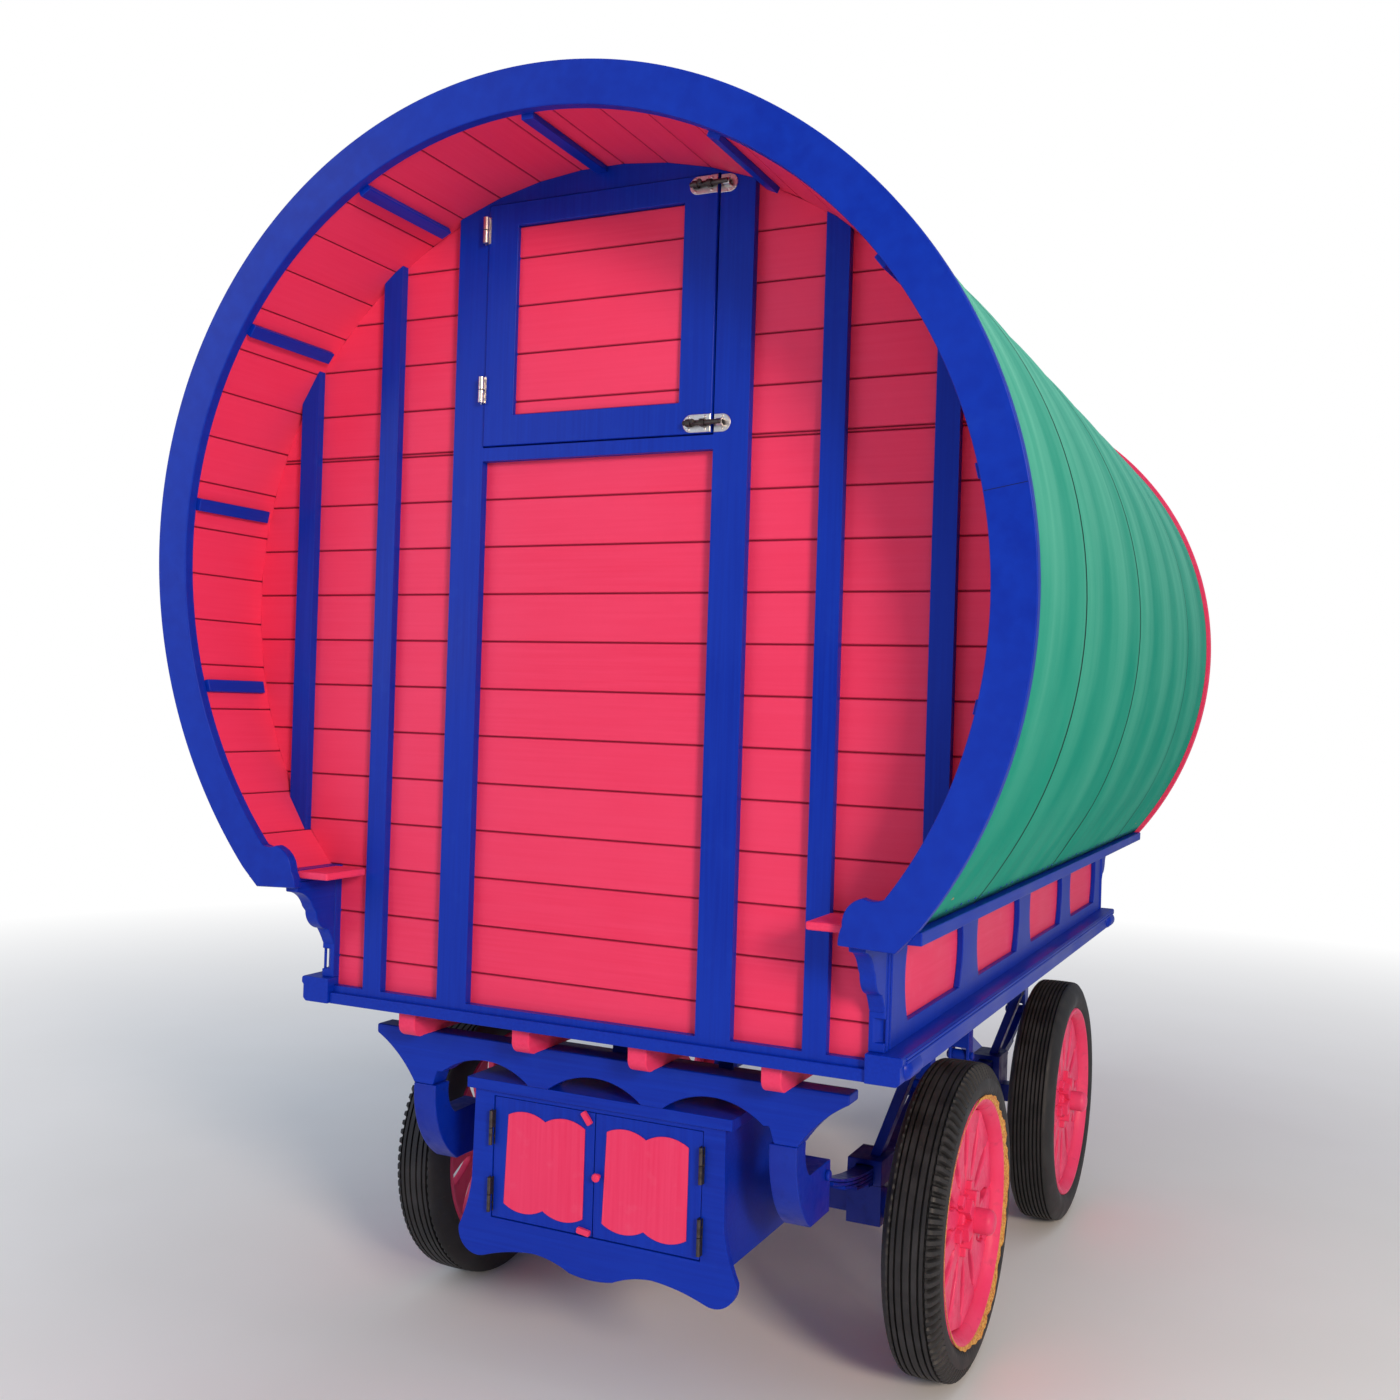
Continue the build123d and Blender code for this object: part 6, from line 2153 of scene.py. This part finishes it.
@dataclass
class SideTrim(Assembly):
    """Half-round trim outside each wall: rolls at the sill's ends, fine beads on sill and corner posts.

    Args:
        roll_sunk: how far a roll's axis is inside the sill's face.
        post_beads_in: how far each bead of a corner post is from the end of the trim.
    """

    sill_x: float = 0.781
    roll_r: float = 0.026
    roll_sunk: float = 0.016
    roll_z: float = 0.923
    roll_long: float = 0.115
    bead_r: float = 0.0035
    sill_beads_z: Spot = (0.9425, 0.9505)
    post_beads_in: Spot = (0.010, 0.030)
    post_z: Spot = (0.957, 1.207)
    inset: float = 0.003

    def bar(self, axis: str, ends: Spot, at: Point, radius: float) -> Shell:
        """A round bar along an axis, whose ends are half-sphere domes.

        Args:
            axis: x, y or z.
            ends: where the bar starts and stops along the axis, counted from the point.
            at: a point of its axis.
            radius: of the bar.
        Returns:
            The shell.
        """
        turn = np.linspace(0.15, pi / 2, 7)
        dome = np.column_stack([radius * (1 - np.cos(turn)), radius * np.sin(turn)])
        low = dome + np.array([ends[0], 0.0])
        high = dome[::-1] * np.array([-1, 1]) + np.array([ends[1], 0.0])
        return turned(np.concatenate([low, high]), at, axis, 20)

    def trim(self, side: int) -> list[Shell]:
        """The bars of one side: two sill beads, and at each end a roll and two post beads.

        Args:
            side: -1 for the left, 1 for the right.
        Returns:
            The bars.
        """
        cabin = self.cabin
        reach = cabin.half_y - self.inset
        trim = []
        for z in self.sill_beads_z:
            trim.append(self.bar("y", (-reach, reach), (side * self.sill_x, cabin.mid_y, z), self.bead_r))
        roll_at = (side * (self.sill_x - self.roll_sunk), cabin.mid_y, self.roll_z)
        for end in (-1, 1):
            low, high = sorted((end * reach, end * (reach - self.roll_long)))
            trim.append(self.bar("y", (low, high), roll_at, self.roll_r))
            for inward in self.post_beads_in:
                at = (side * cabin.wall_out, cabin.mid_y + end * (reach - inward), 0.0)
                trim.append(self.bar("z", self.post_z, at, self.bead_r))
        return trim

    def build(self) -> None:
        """One mesh of bars on each side, sunk part of their radius into the timber."""
        for side, name in SIDES:
            material = self.palette.get(BLUE_PAINT, Grain.ALONG)
            obj = mesh_object(f"side_trim_{name}", joined(self.trim(side)), material, crease=radians(40))
            fixed_to(obj, "body", "blue_paint")


# Studio


@dataclass
class Studio:
    """Camera, floor and soft light.

    Args:
        rear_y: the rear wall's outer face, from which the eye's place along Y counts.
        yaw, pitch, roll: how far the camera looks to the left and up, and leans to the left.
        floor_near, floor_far: where the floor starts to turn white, and where it is white.
    """

    rear_y: float
    lens_mm: float = 36.455
    sensor_mm: float = 36.0
    eye: Point = (1.623, -2.819, 1.661)
    yaw: float = radians(25.309)
    pitch: float = radians(0.253)
    roll: float = radians(1.770)
    floor_half: float = 30.0
    floor_near: float = 2.2
    floor_far: float = 7.5
    aim: Point = (0.0, -0.5, 1.4)

    def camera(self) -> None:
        """A camera whose axes follow from yaw, pitch and roll; it looks along minus its own Z."""
        ahead = np.array([-sin(self.yaw) * cos(self.pitch), cos(self.yaw) * cos(self.pitch), sin(self.pitch)])
        level = np.array([cos(self.yaw), sin(self.yaw), 0.0])
        upright = np.cross(level, ahead)
        right = level * cos(self.roll) + upright * sin(self.roll)
        top = -level * sin(self.roll) + upright * cos(self.roll)
        data = bpy.data.cameras.new("camera")
        data.lens = self.lens_mm
        data.sensor_width = self.sensor_mm
        data.dof.use_dof = False
        camera = bpy.data.objects.new("camera", data)
        matrix = np.eye(4)
        matrix[:3, 0] = right
        matrix[:3, 1] = top
        matrix[:3, 2] = -ahead
        matrix[:3, 3] = (self.eye[0], self.rear_y + self.eye[1], self.eye[2])
        camera.matrix_world = Matrix(matrix.tolist())
        bpy.context.scene.collection.objects.link(camera)
        bpy.context.scene.camera = camera

    def floor(self) -> None:
        """A plain pale floor, matt and very slightly mottled."""
        look = Look("pale floor")
        mottled = look.over(srgb("#F0EFEC"), look.cloud(900.0), 0.3, 0.7, 1.0, "#F4F3F1")
        look.set(base_color=mottled, roughness=0.9)
        self.fade_out(look)
        half = self.floor_half
        corners = np.array([(-half, -half, 0), (half, -half, 0), (half, half, 0), (-half, half, 0)], float)
        shell = Shell(corners, [np.array([[0, 1, 2, 3]])])
        floor = mesh_object("floor_stage", shell, look.material, closed=False)

    def fade_out(self, look: Look) -> None:
        """Turn the floor white from near to far off, as the eye sees it, so that it meets the background.

        Args:
            look: the floor's material.
        """
        tree = look.tree
        away = add_node(tree, "VectorMath", (look.coordinates,), operation="LENGTH").outputs["Value"]
        far = add_node(tree, "MapRange", (away, self.floor_near, self.floor_far, 0.0, 1.0)).outputs[0]
        seen = add_node(tree, "LightPath").outputs["Is Camera Ray"]
        white = add_node(tree, "Emission", {"Color": srgb("#FFFFFF"), "Strength": 1.0})
        share = add_node(tree, "Math", (far, seen), operation="MULTIPLY").outputs[0]
        blend = (share, look.shader.outputs[0], white.outputs[0])
        mixed = add_node(tree, "MixShader", blend)
        tree.links.new(mixed.outputs[0], tree.nodes["Material Output"].inputs["Surface"])

    def lights(self) -> None:
        """A broad warm key from the right behind the camera, a cool fill from the left and one from above."""
        for name, place, size, power, colour in (
            ("key", (7.0, -7.4, 4.2), 2.0, 620.0, "#FFE8D2"),
            ("fill", (-6.0, -7.0, 3.6), 5.0, 150.0, "#E6EEFF"),
            ("top", (0.5, -0.5, 8.0), 6.0, 170.0, "#F2F6FF"),
        ):
            data = bpy.data.lights.new(name, "AREA")
            data.size = size
            data.energy = power
            data.color = srgb(colour)[:3]
            light = bpy.data.objects.new(name, data)
            direction = np.array(self.aim) - np.array(place)
            light.matrix_world = Matrix.Translation(place) @ Matrix(aimed(direction).tolist())
            bpy.context.scene.collection.objects.link(light)

    def world(self) -> None:
        """White to the camera and through glass, and a soft cool sky to everything else."""
        world = bpy.data.worlds.new("studio")
        world.use_nodes = True
        tree = world.node_tree
        tree.nodes.clear()
        rays = add_node(tree, "LightPath")
        either = (rays.outputs["Is Camera Ray"], rays.outputs["Is Transmission Ray"])
        seen = add_node(tree, "Math", either, operation="MAXIMUM")
        sky = add_node(tree, "Background", {"Color": srgb("#E2EAFA"), "Strength": 0.42})
        white = add_node(tree, "Background", {"Color": srgb("#FFFFFF"), "Strength": 1.0})
        blend = (seen.outputs[0], sky.outputs[0], white.outputs[0])
        mixed = add_node(tree, "MixShader", blend)
        add_node(tree, "OutputWorld", {"Surface": mixed.outputs[0]})
        bpy.context.scene.world = world

    def build(self) -> None:
        """Set up the whole studio."""
        self.camera()
        self.floor()
        self.lights()
        self.world()
        bpy.context.scene.view_settings.view_transform = "Standard"


def aimed(direction: Array) -> Array:
    """A turn that points minus Z along the direction, with X level.

    Args:
        direction: where it points.
    Returns:
        A matrix of four rows, whose columns are the turned axes.
    """
    back = -direction / np.linalg.norm(direction)
    side = np.cross((0.0, 0.0, 1.0), back)
    side /= np.linalg.norm(side)
    out = np.eye(4)
    out[:3, 0] = side
    out[:3, 1] = np.cross(back, side)
    out[:3, 2] = back
    return out


def main() -> None:
    """Build every sub-assembly in order over the CAD frame."""
    logging.basicConfig(level=logging.INFO, format="%(message)s")
    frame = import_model()
    rear_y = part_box("rear_wall_frame")[0].y
    front_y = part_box("front_wall_frame")[1].y
    cabin = Cabin(mid_y=(rear_y + front_y) / 2)
    palette = Palette()
    steps = (
        Studio(rear_y),
        Joinery(frame, palette),
        EndWall(cabin, palette, "rear_wall_boards", -1, cabin.window_z),
        EndWall(cabin, palette, "front_wall_boards", 1, cabin.door_z),
        LeafPanels(cabin, palette),
        BarrelLining(cabin, palette),
        PorchArch(cabin, palette, "rear_arch", -1, scarfs=(radians(80.0),)),
        PorchArch(cabin, palette, "front_arch", 1, edge_pink=True),
        CanvasCover(cabin, palette),
        RunningGear(cabin, palette),
        LeafSprings(cabin, palette, "rear_springs", "body", cabin.rear_axle_y, half=0.440),
        LeafSprings(cabin, palette, "front_springs", "fore_carriage", cabin.front_axle_y, half=0.400),
        Ironwork(cabin, palette),
        PanDoors(cabin, palette),
        CoverTacks(cabin, palette),
        SideTrim(cabin, palette),
    )
    for step in steps:
        step.build()
        LOG.info("built %s", type(step).__name__)


if __name__ == "__main__":
    main()
